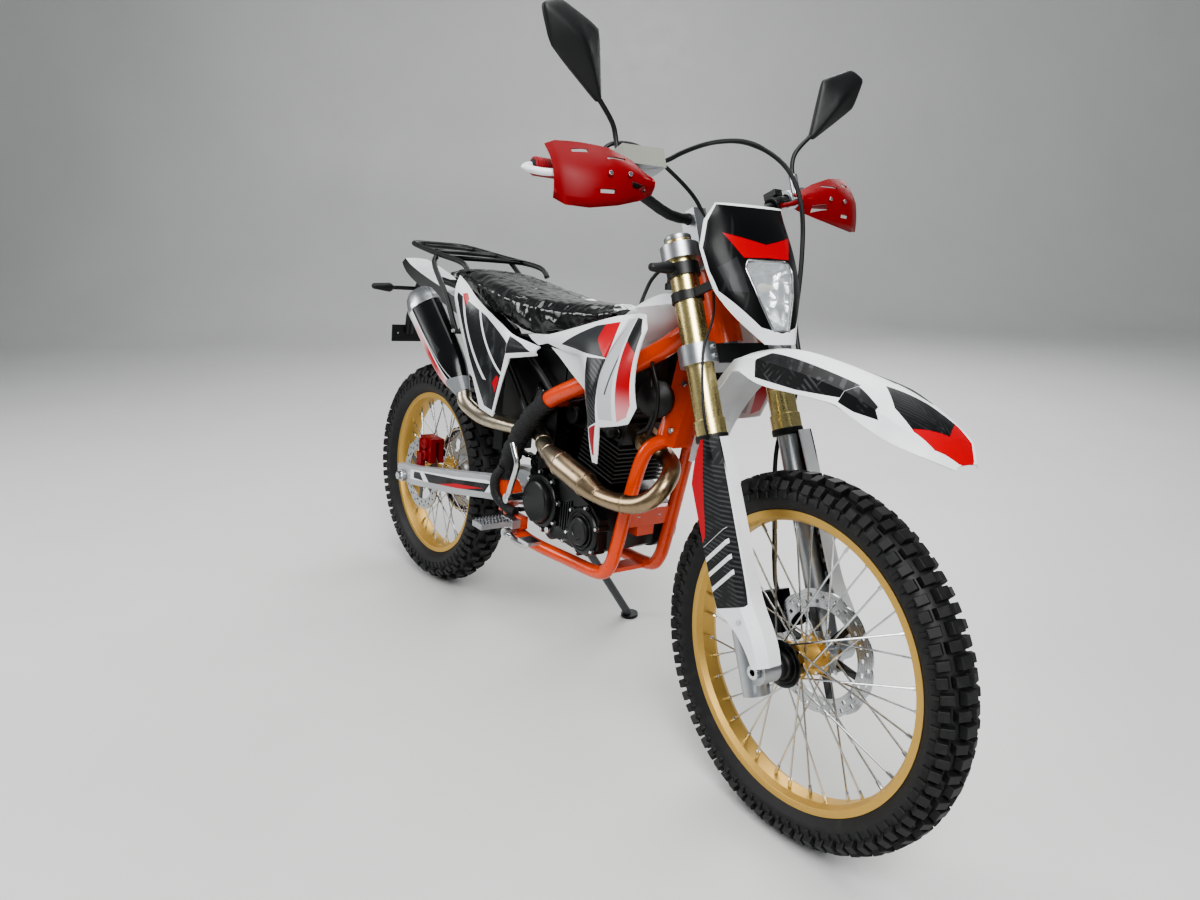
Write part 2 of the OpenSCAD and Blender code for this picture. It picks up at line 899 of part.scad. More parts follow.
header_path = run([[920.4, -6, 653], [958, -8, 644], [1004, -14, 631], [1052, -40, 621], [1080, -78, 598],
  [1066, -104, 562], [1018, -118, 540], [940, -128, 536], [880, -134, 552], [800, -138, 572],
  [720, -128, 588], [650, -90, 594], [584, -70, 594], [500, -84, 590], [420, -116, 594],
  muffler_a - 30 * unit(muffler_b - muffler_a), muffler_a + 1.5 * unit(muffler_b - muffler_a)], 3);

module header() {
  color("#8a8078")
    tube(header_path, [for (p = header_path) p[0] < 925 && p[0] > 770 && p[1] < -100 ? 27 : 19],
      12);
}

// along the muffler from its lower end
module along_muffler() {
  d = muffler_b - muffler_a;
  translate(muffler_a)
    on_axis(d)
      children();
}

// oval muffler section: distance along, half height, half width
module can(rows) {
  loft([for (r = rows) [for (j = [0 : 15]) let (a = j * 22.5 + 11.25)
    [r[1] * cos(a) * (1 - 0.1 * pow(sin(2 * a), 2)), r[2] * sin(a) * (1 - 0.1 * pow(sin(2 * a), 2)), r[0]]]]);
}

can_l = norm(muffler_b - muffler_a) - 40;

module muffler() {
  color("#202122")
    along_muffler()
      can([[4, 21, 21], [18, 27, 26], [70, 50, 43], [130, 57, 47], [can_l, 58, 48]]);
}

module muffler_cap() {
  color("#b4b7ba")
    along_muffler()
      difference() {
        can([[can_l + gap, 59, 49], [can_l + 14, 59, 49], [can_l + 40, 51, 42], [can_l + 58, 34, 30]]);
        translate([0, 0, can_l + 24])
          cylinder(r = 17, h = 60);
      }
}

// arm stations: along, out, half width, height, half height
module swingarm() {
  rows = [[572, 60, 18, 424, 22], [430, 80, 18, 411, 32], [300, 104, 15, 388, 32],
    [60, 112, 12, rear_tyre_r + 14, 28],
    [-46, 112, 12, rear_tyre_r + 1, 24]];
  color("#a8abae")
    union() {
      both()
        difference() {
          loft([for (r = rows) [[r[0], r[1] - r[2], r[3] - r[4]], [r[0], r[1] + r[2], r[3] - r[4]],
            [r[0], r[1] + r[2], r[3] + r[4]], [r[0], r[1] - r[2], r[3] + r[4]]]]);
          translate([0, 112, rear_tyre_r])
            across(11.9 + 0.05, -40, 40);
          translate([pivot_x, 60, pivot_z])
            across(10.2, -60, 60);
        }
      translate([pivot_x, 0, pivot_z])
        difference() {
          across(24, -64, 64);
          across(10.2, -99, 99);
        }
      translate([398, -88, 392])
        cube([34, 176, 40]);
      translate([425, -13, 424])
        cube([112, 26, 24.5]);
      translate([pivot_x, 0, pivot_z])
        across(10.2 - 0.05, -120, 120);
    }
}

module shock() {
  a = [520, 0, 470];
  d = [700, 0, 694] - a;
  l = norm(d) - 13.9;
  color("#38393b")
    translate(a)
      rotate([0, acos(d[2] / l), 0])
        union() {
          cylinder(r = 12, h = l);
          translate([0, 0, 20])
            cylinder(r = 34, h = 8);
          translate([0, 0, 96])
            cylinder(r = 26, h = l - 118);
          translate([0, 0, 212])
            cylinder(r = 34, h = 10);
          translate([0, 0, -26])
            rotate([90, 0, 0])
              translate([0, 20, -16])
                cylinder(r = 16, h = 32);
        }
}

// chain round both sprockets, its edges waisted between the pins
chain_r = [126, 36];
chain_c = [[0, rear_tyre_r], [640, 437]];
chain_links = 36;

function chain_at(t, q) = let (d = chain_c[1] - chain_c[0], l = norm(d), g = atan2(d[1], d[0]),
  b = asin((chain_r[0] - chain_r[1]) / l), run_l = l * cos(b), n = [-sin(g), cos(g)], f = d / l,
  top = cos(b) * n + sin(b) * f, low = sin(b) * f - cos(b) * n, k = floor(t), u = t - k)
  k == 0 ? chain_c[0] + (chain_r[0] + q) * top + u * (chain_c[1] + (chain_r[1] + q) * top
    - chain_c[0] - (chain_r[0] + q) * top) :
  k == 1 ? let (a = g + 90 - b - u * (180 - 2 * b)) chain_c[1] + (chain_r[1] + q) * [cos(a), sin(a)] :
  k == 2 ? chain_c[1] + (chain_r[1] + q) * low + u * (chain_c[0] + (chain_r[0] + q) * low
    - chain_c[1] - (chain_r[1] + q) * low) :
  let (a = g - 90 + b - u * (180 + 2 * b)) chain_c[0] + (chain_r[0] + q) * [cos(a), sin(a)];

module chain() {
  spans = [[0, chain_links], [1, 8], [2, chain_links], [3, 32]];
  edge = function(pin, waist) [for (c = spans) for (i = [0 : c[1] - 1])
    chain_at(c[0] + i / c[1], i % 2 == 0 ? pin : waist)];
  color("#3b3a38")
    translate([0, chain_y + 9, 0])
      rotate([90, 0, 0])
        linear_extrude(18)
          difference() {
            polygon(edge(8, 4.5));
            polygon(edge(-6, -3));
          }
}

module rear_caliper() {
  color("#a3161b")
    translate(axle_r)
      union() {
        difference() {
          translate([20, -88, 54])
            cube([70, 42, 72]);
          translate([0, -66 - 5, 40])
            cube([120, 10, 76]);
        }
        translate([24, -100 + gap, 18])
          cube([30, 14, 60]);
      }
}

// tank stations: along, half width, foot, shoulder, top
module tank() {
  rows = [[846, 50, 806, 880, 904], [880, 84, 816, 900, 930], [938, 92, 852, 936, 975],
    [1002, 66, 886, 952, 981.7], [1030, 44, 908, 954, 972], [1044, 26, 926, 950, 962]];
  color("#eceef0")
    loft([for (r = rows) [[r[0], -r[1] * 0.55, r[2]], [r[0], r[1] * 0.55, r[2]],
      [r[0], r[1], r[3]], [r[0], r[1] * 0.5, r[4]], [r[0], -r[1] * 0.5, r[4]], [r[0], -r[1], r[3]]]]);
}

module tank_cap() {
  color("#1a1b1c")
    translate([970, 0, 979])
      rotate([0, -6, 0])
        union() {
          cylinder(r = 30, h = 14);
          translate([0, 0, 10])
            cylinder(r = 24, h = 16);
        }
}

// seat stations: along, half width at the foot, half width at the shoulder, foot, shoulder, top
module seat() {
  rows = [[78, 56, 60, 918, 934, 940], [160, 84, 92, 918, 942, 952], [290, 104, 118, 900, 938, 954],
    [400, 116, 128, 866, 918, 940], [520, 120, 130, 840, 902, 926], [610, 116, 124, 830, 898, 920],
    [700, 98, 104, 852, 900, 921], [780, 76, 82, 884, 908, 926], [840, 60, 64, 914, 922, 934]];
  color("#1c1c1d")
    loft([for (r = rows) [[r[0], -r[1], r[3]], [r[0], r[1], r[3]], [r[0], r[2], r[4]],
      [r[0], r[2] * 0.8, r[5] - 6], [r[0], r[2] * 0.4, r[5]], [r[0], -r[2] * 0.4, r[5]],
      [r[0], -r[2] * 0.8, r[5] - 6], [r[0], -r[2], r[4]]]]);
}

// shroud stations: along, low edge, high edge, out at the low edge, out in the middle, out at the top
module shrouds() {
  rows = [[690, 832, 842, 134, 134, 132], [770, 822, 864, 138, 142, 132], [872, 826, 898, 150, 160, 124],
    [906, 756, 910, 168, 172, 118], [936, 690, 918, 172, 182, 114], [950, 618, 921, 166, 188, 112],
    [964, 618, 924, 166, 190, 110], [980, 700, 927, 182, 192, 112], [1030, 712, 934, 186, 198, 152],
    [1070, 726, 936, 184, 200, 168], [1086, 760, 912, 182, 194, 176]];
  color("#e6e8ea")
    both() {
      translate([950, 0, 905])
        across(8, 76.6, 123.4);
      skin_of([for (r = rows) [for (k = [0 : 5]) let (t = k / 5)
        [r[0], (1 - t) * (1 - t) * r[3] + 2 * t * (1 - t) * (2 * r[4] - (r[3] + r[5]) / 2) + t * t * r[5],
         r[1] + (r[2] - r[1]) * t]]], skin);
    }
}

// side panel stations: along, low edge, high edge, out at the low edge, out at the high edge
module side_panels() {
  rows = [[278, 866, 940, 136, 128], [318, 806, 926, 140, 132], [370, 742, 896, 142, 134],
    [436, 624, 868, 138, 134], [500, 616, 846, 138, 132], [536, 716, 832, 140, 132],
    [560, 772, 822, 138, 130], [668, 796, 812, 134, 128]];
  color("#dfe1e3")
    both() {
      translate([400, 0, 847])
        across(7, 84.5, 138.4);
      skin_of([for (r = rows) [for (k = [0 : 4]) let (t = k / 4)
        [r[0], r[3] + (r[4] - r[3]) * t + 8 * (1 - pow(2 * t - 1, 2)), r[1] + (r[2] - r[1]) * t]]],
        skin);
    }
}

// fender line: along, up, half width, side drop along, side drop up
module rear_fender() {
  rows = [[404, 500, 56, -26, 0], [410, 620, 58, -26, -4], [380, 730, 58, -22, -16],
    [300, 812, 56, -10, -26], [180, 850, 56, 0, -34], [60, 884, 58, 0, -36], [-80, 912, 62, 0, -34],
    [-180, 936, 60, 0, -26], [-240, 950, 44, 0, -14]];
  across_y = [[-1, 1], [-0.8, 0.12], [-0.3, 0], [0.3, 0], [0.8, 0.12], [1, 1]];
  color("#eceef0")
    skin_of([for (r = rows) [for (c = across_y)
      [r[0] + r[3] * c[1], r[2] * c[0], r[1] + r[4] * c[1]]]], skin);
    translate([60, -12, 878])
      cube([24, 24, 22.5]);
}

module rack() {
  rail = run([[304, 122, 950], [288, 122, 966], [240, 120, 976], [120, 112, 984], [-40, 96, 998],
    [-96, 80, 1003], [-112, 40, 1004]], 3);
  color("#1a1b1c")
    union() {
      tube(concat(rail, [for (p = rev(rail)) [p[0], -p[1], p[2]]]), 8, 8, [0, 0, 1]);
      for (x = [[180, 116, 980], [60, 104, 989], [-50, 92, 999]])
        translate([x[0], 0, x[2]])
          across(6, -x[1], x[1]);
      both()
        tube(run([[118, 118, 976], [134, 132, 954], [236, 142, 880], [298, 144, 796], [306, 126, 812],
          [316, 100, 830], [318, 79.4, 834]], 2), 8, 8, [0.6, 0, 1]);
    }
}

module tail_lamp() {
  color("#8e1216")
    translate([-242, -34, 908])
      cube([36, 68, 31.8]);
}

module plate_bracket() {
  color("#19191a")
    difference() {
      union() {
        tube([[-167, 0, 927.2], [-214, 0, 860], [-262, 0, 770], [-268, 0, 716]], 14, 10);
        translate([-276, -55, 690])
          cube([6, 110, 52]);
        both() {
          translate([-216, 0, 862])
            across(6, 0, 96);
          hull() {
            translate([-216, 98, 862])
              sphere(r = 14, $fn = 10);
            translate([-214, 146, 864])
              sphere(r = 9, $fn = 10);
          }
        }
      }
      both()
        translate([-300, plate_pcd / 2, 716])
          rotate([0, 90, 0])
            cylinder(r = plate_hole_r, h = 60);
    }
}

module airbox() {
  color("#151516")
    union() {
      translate([440, -58, 722])
        cube([180, 116, 92]);
      translate([560, 0, 778])
        across(6, -71.4, 71.4);
    }
}

module footpegs() {
  color("#b0b3b6")
    both()
      translate([peg[0], 0, peg[2]])
        union() {
          translate([-26, 126 + gap, -12])
            cube([52, 24, 22]);
          for (i = [0 : 2])
            translate([-22 + i * 18, 148, -6])
              cube([7, 84, 14]);
          translate([-22, 226, -6])
            cube([43, 7, 14]);
          translate([-22, 184, -6])
            cube([43, 6, 10]);
        }
}

module foot_controls() {
  color("#b0b3b6")
    union() {
      tube(run([[616, -146, 352], [660, -150, 346], [720, -164, 356], [748, -172, 372]], 3), 7, 8);
      translate([728, -190, 374])
        cube([44, 34, 8]);
      translate([616, 0, 352])
        across(12, -158, -126 - gap);
      tube(run([[690, 124, 404], [740, 126, 400], [796, 130, 396]], 3), 6, 8);
      translate([798, 0, 397])
        across(9, 126, 160);
      translate([690, 0, 404])
        across(13, 118 + gap, 132);
      translate([622, 0, 442])
        across(12, -164, -80 - gap);
      tube(run([[622, -158, 442], [636, -160, 478], [662, -164, 536], [650, -166, 566],
        [640, -166, 584]], 3), 7.5, 8);
    }
}

module side_stand() {
  d = stand_foot - stand_hinge;
  color("#6f7376")
    union() {
      translate(stand_hinge)
        on_axis(d)
          cylinder(r = 11, h = norm(d) - 10);
      translate(stand_hinge)
        on_axis(stand_axis)
          translate([0, 0, -13])
            cylinder(r = 16, h = 26);
      translate(stand_foot)
        rotate([lean, 0, 0])
          cylinder(r = 24, h = 8);
    }
}

leaned() front_tyre();
leaned() front_rim();
leaned() front_hub();
leaned() front_disc();
leaned() front_axle();
leaned() fork_tubes();
leaned() fork_sliders();
leaned() fork_guards();
leaned() triple_clamps();
leaned() front_caliper();
leaned() front_fender();
leaned() mask();
leaned() headlamp();
leaned() handlebar();
leaned() grips();
leaned() levers();
leaned() hand_guards();
leaned() guard_frames();
leaned() mirrors();
leaned() front_flashers();
leaned() brake_hose();
leaned() rear_tyre();
leaned() rear_rim();
leaned() rear_hub();
leaned() rear_disc();
leaned() sprocket();
leaned() rear_axle();
leaned() frame();
leaned() subframe();
leaned() crankcase();
leaned() clutch_cover();
leaned() cylinder_node();  // cylinder
leaned() header();
leaned() muffler();
leaned() muffler_cap();
leaned() swingarm();
leaned() shock();
leaned() chain();
leaned() rear_caliper();
leaned() tank();
leaned() tank_cap();
leaned() seat();
leaned() shrouds();
leaned() side_panels();
leaned() rear_fender();
leaned() rack();
leaned() tail_lamp();
leaned() plate_bracket();
leaned() airbox();
leaned() footpegs();
leaned() foot_controls();
leaned() side_stand();
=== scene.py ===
"""Enduro motorcycle on its side stand: finishes, fittings and the studio round it."""
import json
from math import acos, atan2, cos, hypot, pi, radians, sin, tau

import bmesh
import bpy
from mathutils import Matrix, Vector, noise


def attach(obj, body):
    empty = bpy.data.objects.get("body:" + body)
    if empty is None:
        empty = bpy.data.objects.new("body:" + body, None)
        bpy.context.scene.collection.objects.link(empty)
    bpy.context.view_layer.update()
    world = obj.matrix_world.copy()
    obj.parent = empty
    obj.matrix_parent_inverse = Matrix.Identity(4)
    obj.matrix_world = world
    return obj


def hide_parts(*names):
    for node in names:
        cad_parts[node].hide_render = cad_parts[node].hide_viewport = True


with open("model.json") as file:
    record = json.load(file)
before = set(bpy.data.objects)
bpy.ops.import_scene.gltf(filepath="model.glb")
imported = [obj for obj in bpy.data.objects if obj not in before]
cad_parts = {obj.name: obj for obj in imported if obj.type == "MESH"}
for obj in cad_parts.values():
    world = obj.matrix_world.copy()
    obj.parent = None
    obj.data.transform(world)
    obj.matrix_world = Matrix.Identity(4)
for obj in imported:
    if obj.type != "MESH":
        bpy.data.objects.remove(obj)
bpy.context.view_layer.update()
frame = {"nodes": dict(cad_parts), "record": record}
NODES = frame["nodes"]
BODY = {n: b for b, ns in frame["record"]["behaviour"]["bodies"].items() for n in ns}

# Frames of the machine: each takes millimetres on the upright bike, the steering stem or a wheel
LEAN, RAKE, REST = radians(8), radians(24), radians(-3)
WHEELBASE, FRONT_R, REAR_R, FORK_OFFSET = 1420, 350, 330, 52
AXLE_F, AXLE_R = Vector((WHEELBASE, 0, FRONT_R)), Vector((0, 0, REAR_R))
AHEAD, UP = Vector((cos(RAKE), 0, sin(RAKE))), Vector((-sin(RAKE), 0, cos(RAKE)))
FOOT = AXLE_F - FORK_OFFSET * AHEAD
MOVE = Matrix.Translation
PARKED = Vector((-0.719955, -0.1695, 0.00204))
BIKE = MOVE(PARKED) @ Matrix.Rotation(-LEAN, 4, "X") @ Matrix.Scale(0.001, 4)
STEM = BIKE @ MOVE(FOOT) @ Matrix.Rotation(-RAKE, 4, "Y") @ Matrix.Rotation(REST, 4, "Z")
FORK = STEM @ Matrix.Rotation(RAKE, 4, "Y") @ MOVE(AXLE_F - FOOT)
BARS = FORK @ MOVE(-AXLE_F)
FRONT = STEM @ MOVE((FORK_OFFSET, 0, 0))
REAR = BIKE @ MOVE(AXLE_R)
WHEEL_UP = Matrix.Rotation(radians(90), 4, "X")
LEFT, RIGHT = (0, 1, 0), (0, -1, 0)


def tint(code):
    """Linear colour from a hex code."""
    c = [int(code[i:i + 2], 16) / 255 for i in (1, 3, 5)]
    return tuple(x / 12.92 if x <= 0.04045 else ((x + 0.055) / 1.055) ** 2.4 for x in c) + (1,)


def dim(c, k):
    """Colour scaled by a factor."""
    return tuple(x * k for x in c[:3]) + (1,)


def added(name, data):
    """Object of some data, linked into the scene."""
    ob = bpy.data.objects.new(name, data)
    bpy.context.scene.collection.objects.link(ob)
    return ob


def mesh_of(bm, name):
    """Mesh of a drawing, which is then freed."""
    me = bpy.data.meshes.new(name)
    bm.to_mesh(me)
    bm.free()
    return me


def baked(ob):
    """Mesh of an object with its modifiers applied."""
    return bpy.data.meshes.new_from_object(ob.evaluated_get(bpy.context.evaluated_depsgraph_get()))


# Shader maths


class Value:
    """A socket in a finish; operators on it add the nodes of the sum."""

    def __init__(self, finish, socket):
        self.finish, self.socket = finish, socket

    def math(self, operation, *terms):
        return self.finish.node("ShaderNodeMath", {"operation": operation}, dict(enumerate(terms)))

    def __add__(self, o):
        return self.math("ADD", self, o)

    __radd__ = __add__

    def __sub__(self, o):
        return self.math("SUBTRACT", self, o)

    def __rsub__(self, o):
        return self.math("SUBTRACT", o, self)

    def __mul__(self, o):
        return self.math("MULTIPLY", self, o)

    __rmul__ = __mul__

    def __truediv__(self, o):
        return self.math("DIVIDE", self, o)

    def __pow__(self, o):
        return self.math("POWER", self, o)

    def __abs__(self):
        return self.math("ABSOLUTE", self)

    def low(self, o):
        return self.math("MINIMUM", self, o)

    def high(self, o):
        return self.math("MAXIMUM", self, o)

    def wave(self, pitch):
        """Triangle wave from 0 to 1 over a pitch."""
        return self.math("PINGPONG", self / pitch, 1.0)

    def rise(self, a, b):
        """Smooth step from 0 at a to 1 at b."""
        return self.finish.node("ShaderNodeMapRange", {"interpolation_type": "SMOOTHSTEP"},
                                {0: self, 1: a, 2: b, 3: 0.0, 4: 1.0})


class Finish:
    """A material built on the Principled shader."""

    def __init__(self, name, fixed=None):
        self.mat = bpy.data.materials.new(name)
        self.mat.use_nodes = True
        self.tree = self.mat.node_tree
        self.shader = self.tree.nodes["Principled BSDF"]
        for socket, v in (fixed or {}).items():
            self.shader.inputs[socket].default_value = v

    def put(self, socket, v):
        if isinstance(v, Value):
            self.tree.links.new(v.socket, socket)
        else:
            socket.default_value = v

    def node(self, kind, settings=None, values=None, out=0):
        n = self.tree.nodes.new(kind)
        for key, v in (settings or {}).items():
            setattr(n, key, v)
        for key, v in (values or {}).items():
            self.put(n.inputs[key], v)
        return Value(self, n.outputs[out])

    def at(self, where=None):
        """Object coordinates, in millimetres of a frame where one is given."""
        spot = self.node("ShaderNodeTexCoord", out=3)
        if where is None:
            return spot
        loc, turn, size = where.inverted().decompose()
        return self.node("ShaderNodeMapping", None,
                         {0: spot, 1: loc, 2: turn.to_euler("XYZ"), 3: size})

    def axes(self, where=None):
        n = self.node("ShaderNodeSeparateXYZ", None, {0: self.at(where)})
        return [Value(self, s) for s in n.socket.node.outputs]

    def noise(self, scale, detail=3.0, rough=0.55, stretch=None):
        spot = self.at()
        if stretch:
            spot = self.node("ShaderNodeMapping", None, {0: spot, 3: stretch})
        return self.node("ShaderNodeTexNoise", None,
                         {"Vector": spot, "Scale": scale, "Detail": detail, "Roughness": rough})

    def cells(self, scale):
        return self.node("ShaderNodeTexVoronoi", None, {"Vector": self.at(), "Scale": scale})

    def mix(self, factor, a, b):
        return self.node("ShaderNodeMix", {"data_type": "RGBA"}, {0: factor, 6: a, 7: b}, 2)

    def layers(self, base, *rest):
        for mask, colour in rest:
            base = self.mix(mask, base, colour)
        return base

    def feed(self, **sockets):
        for name, v in sockets.items():
            self.put(self.shader.inputs[name.replace("_", " ")], v)
        return self

    def bump(self, height, depth, strength=1.0):
        """Relief of a depth in metres."""
        self.put(self.shader.inputs["Normal"], self.node(
            "ShaderNodeBump", None, {"Strength": strength, "Distance": depth, "Height": height}))
        return self

    def area(self, u, v, corners, edge=0.7):
        """Mask of a convex outline given anticlockwise in u and v."""
        near = None
        for (a, b), (c, d) in zip(corners, corners[1:] + corners[:1]):
            l = hypot(c - a, d - b)
            side = u * (-(d - b) / l) + v * ((c - a) / l) + ((d - b) * a - (c - a) * b) / l
            near = side if near is None else near.low(side)
        return near.rise(0.0, edge)


def moulded(name, code, rough=0.34, grain=0.5, coat=0.0, shine=0.5):
    """Injection moulded plastic with a fine grain."""
    f = Finish(name, {"Coat Weight": coat, "Coat Roughness": 0.12, "Specular IOR Level": shine})
    cloud = f.noise(9)
    fine = f.noise(1400, detail=2.0)
    c = tint(code)
    f.feed(Base_Color=f.mix(cloud.rise(0.3, 0.7), dim(c, 0.93), c),
           Roughness=rough + 0.12 * (cloud - 0.5) + 0.1 * (fine - 0.5))
    return f.bump(fine, 0.00012 * grain)


def metal(name, code, rough=0.28, stretch=None, depth=0.00004):
    """Bare or anodised metal with fine drawn lines."""
    f = Finish(name, {"Metallic": 1.0})
    lines = f.noise(160, 2.0, 0.6, stretch)
    cloud = f.noise(14)
    c = tint(code)
    f.feed(Base_Color=f.mix(lines.rise(0.2, 0.85), dim(c, 0.92), c),
           Roughness=rough + 0.08 * (lines - 0.5) + 0.1 * (cloud - 0.5))
    return f.bump(lines, depth)


def cast(name, code, rough=0.5):
    """Painted casting with an orange peel skin and paler patches."""
    f = Finish(name)
    skin = f.noise(420, detail=2.0)
    cloud = f.noise(18)
    c = tint(code)
    f.feed(Base_Color=f.mix(cloud, c, tuple(min(1, x * 1.5 + 0.006) for x in c[:3]) + (1,)),
           Roughness=rough + 0.22 * (cloud - 0.5))
    return f.bump(skin, 0.00025)


WHITE = moulded("white_plastic", "#e4e6e8", 0.3, 0.35, 0.2)
BLACK = moulded("black_plastic", "#08090a", 0.46, 1.0)
GLOSS = moulded("glossy_black", "#070808", 0.24, 0.3, 0.3)
GREY = moulded("grey_plastic", "#55585b", 0.42, 1.0)
STONE = moulded("stone_grey_plastic", "#8f9188", 0.4, 0.8)
RED = moulded("red_plastic", "#7d0208", 0.42, 0.5, 0.0, 0.22)
STEEL = metal("bright_steel", "#d2d4d6", 0.2)
ALLOY = metal("satin_alloy", "#b4b7ba", 0.36)
BRUSHED = metal("brushed_alloy", "#c4c7ca", 0.3, (0.08, 1, 1))
FORK_GOLD = metal("champagne_gold_tube", "#dccb92", 0.28, depth=0.000004)
RIM_GOLD = metal("satin_gold_rim", "#d8b36a", 0.5)
DARK = metal("blackened_steel", "#1d1e20", 0.44)
ENGINE = cast("engine_enamel", "#060707", 0.36)
ORANGE = Finish("orange_powder_coat", {"Coat Weight": 0.35, "Coat Roughness": 0.16})
ORANGE.feed(Base_Color=ORANGE.mix(ORANGE.noise(12), tint("#cf3c05"), tint("#e04a0c")),
            Roughness=0.3 + 0.2 * (ORANGE.noise(40) - 0.5)).bump(ORANGE.noise(520, detail=1.0), 0.00012)


def rubber():
    f = Finish("tyre_rubber")
    dust = f.noise(55, detail=5.0)
    f.feed(Base_Color=f.mix(dust.rise(0.45, 0.8), tint("#101011"), tint("#242322")),
           Roughness=0.58 + 0.25 * (dust - 0.5))
    return f.bump(f.noise(900), 0.00015)


RUBBER = rubber()


def ring_brushed(name, code, where, pitch=1.6):
    """Steel turned or ground in circles round an axle."""
    f = Finish(name, {"Metallic": 1.0})
    x, _, z = f.axes(where)
    r = (x * x + z * z) ** 0.5
    lines = f.node("ShaderNodeTexNoise", {"noise_dimensions": "1D"},
                   {"W": r, "Scale": 1.0 / pitch, "Detail": 4.0, "Roughness": 0.7})
    f.feed(Base_Color=f.mix(lines, tint("#8d9093"), tint(code)), Roughness=0.24 + 0.3 * (lines - 0.4))
    return f.bump(lines, 0.00006)


DISC_F = ring_brushed("front_disc_steel", "#d8dadc", FRONT)
DISC_R = ring_brushed("rear_disc_steel", "#d8dadc", REAR)

# Pieces


def run(p, k):
    """Smooth run through points, k steps to a span."""
    p = [Vector(q) for q in p]
    out = []
    for i in range(len(p) - 1):
        a, b, c, d = p[max(i - 1, 0)], p[i], p[i + 1], p[min(i + 2, len(p) - 1)]
        for j in range(k):
            t = j / k
            out.append(0.5 * (2 * b + (c - a) * t + (2 * a - 5 * b + 4 * c - d) * t * t
                              + (3 * b - a - 3 * c + d) * t ** 3))
    return out + [p[-1]]


def aim(p, d):
    """Frame at p with Z along d."""
    return MOVE(p) @ Vector(d).to_track_quat("Z", "X").to_matrix().to_4x4()


class Shape:
    """Mesh of one piece, drawn in a frame of the machine."""

    def __init__(self, where=BIKE):
        self.bm = bmesh.new()
        self.where = where

    def faces(self, rings, mat=0, closed=True, ends=True):
        bm = self.bm
        rows = [[bm.verts.new(p) for p in ring] for ring in rings]
        n = len(rows[0])
        for a, b in zip(rows, rows[1:]):
            for j in range(n if closed else n - 1):
                k = (j + 1) % n
                bm.faces.new((a[j], a[k], b[k], b[j])).material_index = mat
        if ends:
            bm.faces.new(rows[0][::-1]).material_index = mat
            bm.faces.new(rows[-1]).material_index = mat
        return self

    def tube(self, path, r, sides=16, mat=0):
        """Round bar along a path, r one radius or one for each point."""
        path = [Vector(p) for p in path]
        last = len(path) - 1
        u = None
        rings = []
        for i, p in enumerate(path):
            t = (path[min(i + 1, last)] - path[max(i - 1, 0)]).normalized()
            if u is None:
                u = t.orthogonal()
            u = (u - t * u.dot(t)).normalized()
            v = t.cross(u)
            q = r[i] if isinstance(r, (list, tuple)) else r
            rings.append([p + q * (cos(tau * j / sides) * u + sin(tau * j / sides) * v)
                          for j in range(sides)])
        return self.faces(rings, mat)

    def lathe(self, profile, at=Matrix(), sides=48, mat=0, loop=False):
        """Turned form: radius and height pairs round Z of a frame."""
        turns = [tau * j / sides for j in range(sides)]
        rows = [(max(r, 0.01), h) for r, h in profile]
        rings = [[at @ Vector((r * cos(a), r * sin(a), h)) for a in turns] for r, h in rows]
        if loop:
            rings.append(rings[0])
        return self.faces(rings, mat, ends=not loop)

    def rod(self, a, b, r, sides=24, mat=0):
        a, b = Vector(a), Vector(b)
        return self.lathe([(r, 0), (r, (b - a).length)], aim(a, b - a), sides, mat)

    def block(self, lo, hi, at=Matrix()):
        x, y, z = zip(lo, hi)
        ring = lambda h: [at @ Vector(p) for p in
                          ((x[0], y[0], h), (x[1], y[0], h), (x[1], y[1], h), (x[0], y[1], h))]
        return self.faces([ring(z[0]), ring(z[1])])

    def prism(self, outline, y0, y1):
        """Plate of an X, Z outline between two Y values."""
        return self.faces([[(x, y, z) for x, z in outline] for y in (y0, y1)])

    def sheet(self, grid):
        return self.faces(grid, closed=False, ends=False)

    def mirror(self):
        """The same again on the other side of the machine."""
        new = bmesh.ops.duplicate(self.bm, geom=self.bm.faces[:] + self.bm.edges[:] + self.bm.verts[:])
        for g in new["geom"]:
            if isinstance(g, bmesh.types.BMVert):
                g.co.y = -g.co.y
        bmesh.ops.reverse_faces(
            self.bm, faces=[g for g in new["geom"] if isinstance(g, bmesh.types.BMFace)])
        return self

    def piece(self, name, body, finishes, stands_for=(), **how):
        bm = self.bm
        bm.transform(self.where)
        bmesh.ops.remove_doubles(bm, verts=bm.verts, dist=1e-6)
        bmesh.ops.recalc_face_normals(bm, faces=bm.faces)
        return settle(mesh_of(bm, name), name, body, finishes, stands_for, **how)


def settle(me, name, body, finishes, stands_for=(), sharp=38, bevel=0.0, wall=0.0, rounds=0):
    """Finished object from a mesh in the row frame, riding on its body."""
    ob = added(name, me)
    for f in finishes if isinstance(finishes, (list, tuple)) else [finishes]:
        me.materials.append(f.mat)
    me.shade_smooth()
    me.set_sharp_from_angle(angle=radians(sharp))
    if rounds:
        m = ob.modifiers.new("rounds", "SUBSURF")
        m.levels = m.render_levels = rounds
    if wall:
        m = ob.modifiers.new("wall", "SOLIDIFY")
        m.thickness = wall
        m.offset = -1
    if bevel:
        m = ob.modifiers.new("edges", "BEVEL")
        m.width = bevel
        m.segments = 2
        m.limit_method = "ANGLE"
        m.angle_limit = radians(40)
        m.harden_normals = True
    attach(ob, body)
    if stands_for:
        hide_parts(*stands_for)
    return ob


# Creased edges that meet at less than this keep their corner
CORNER_ANGLE = radians(158)


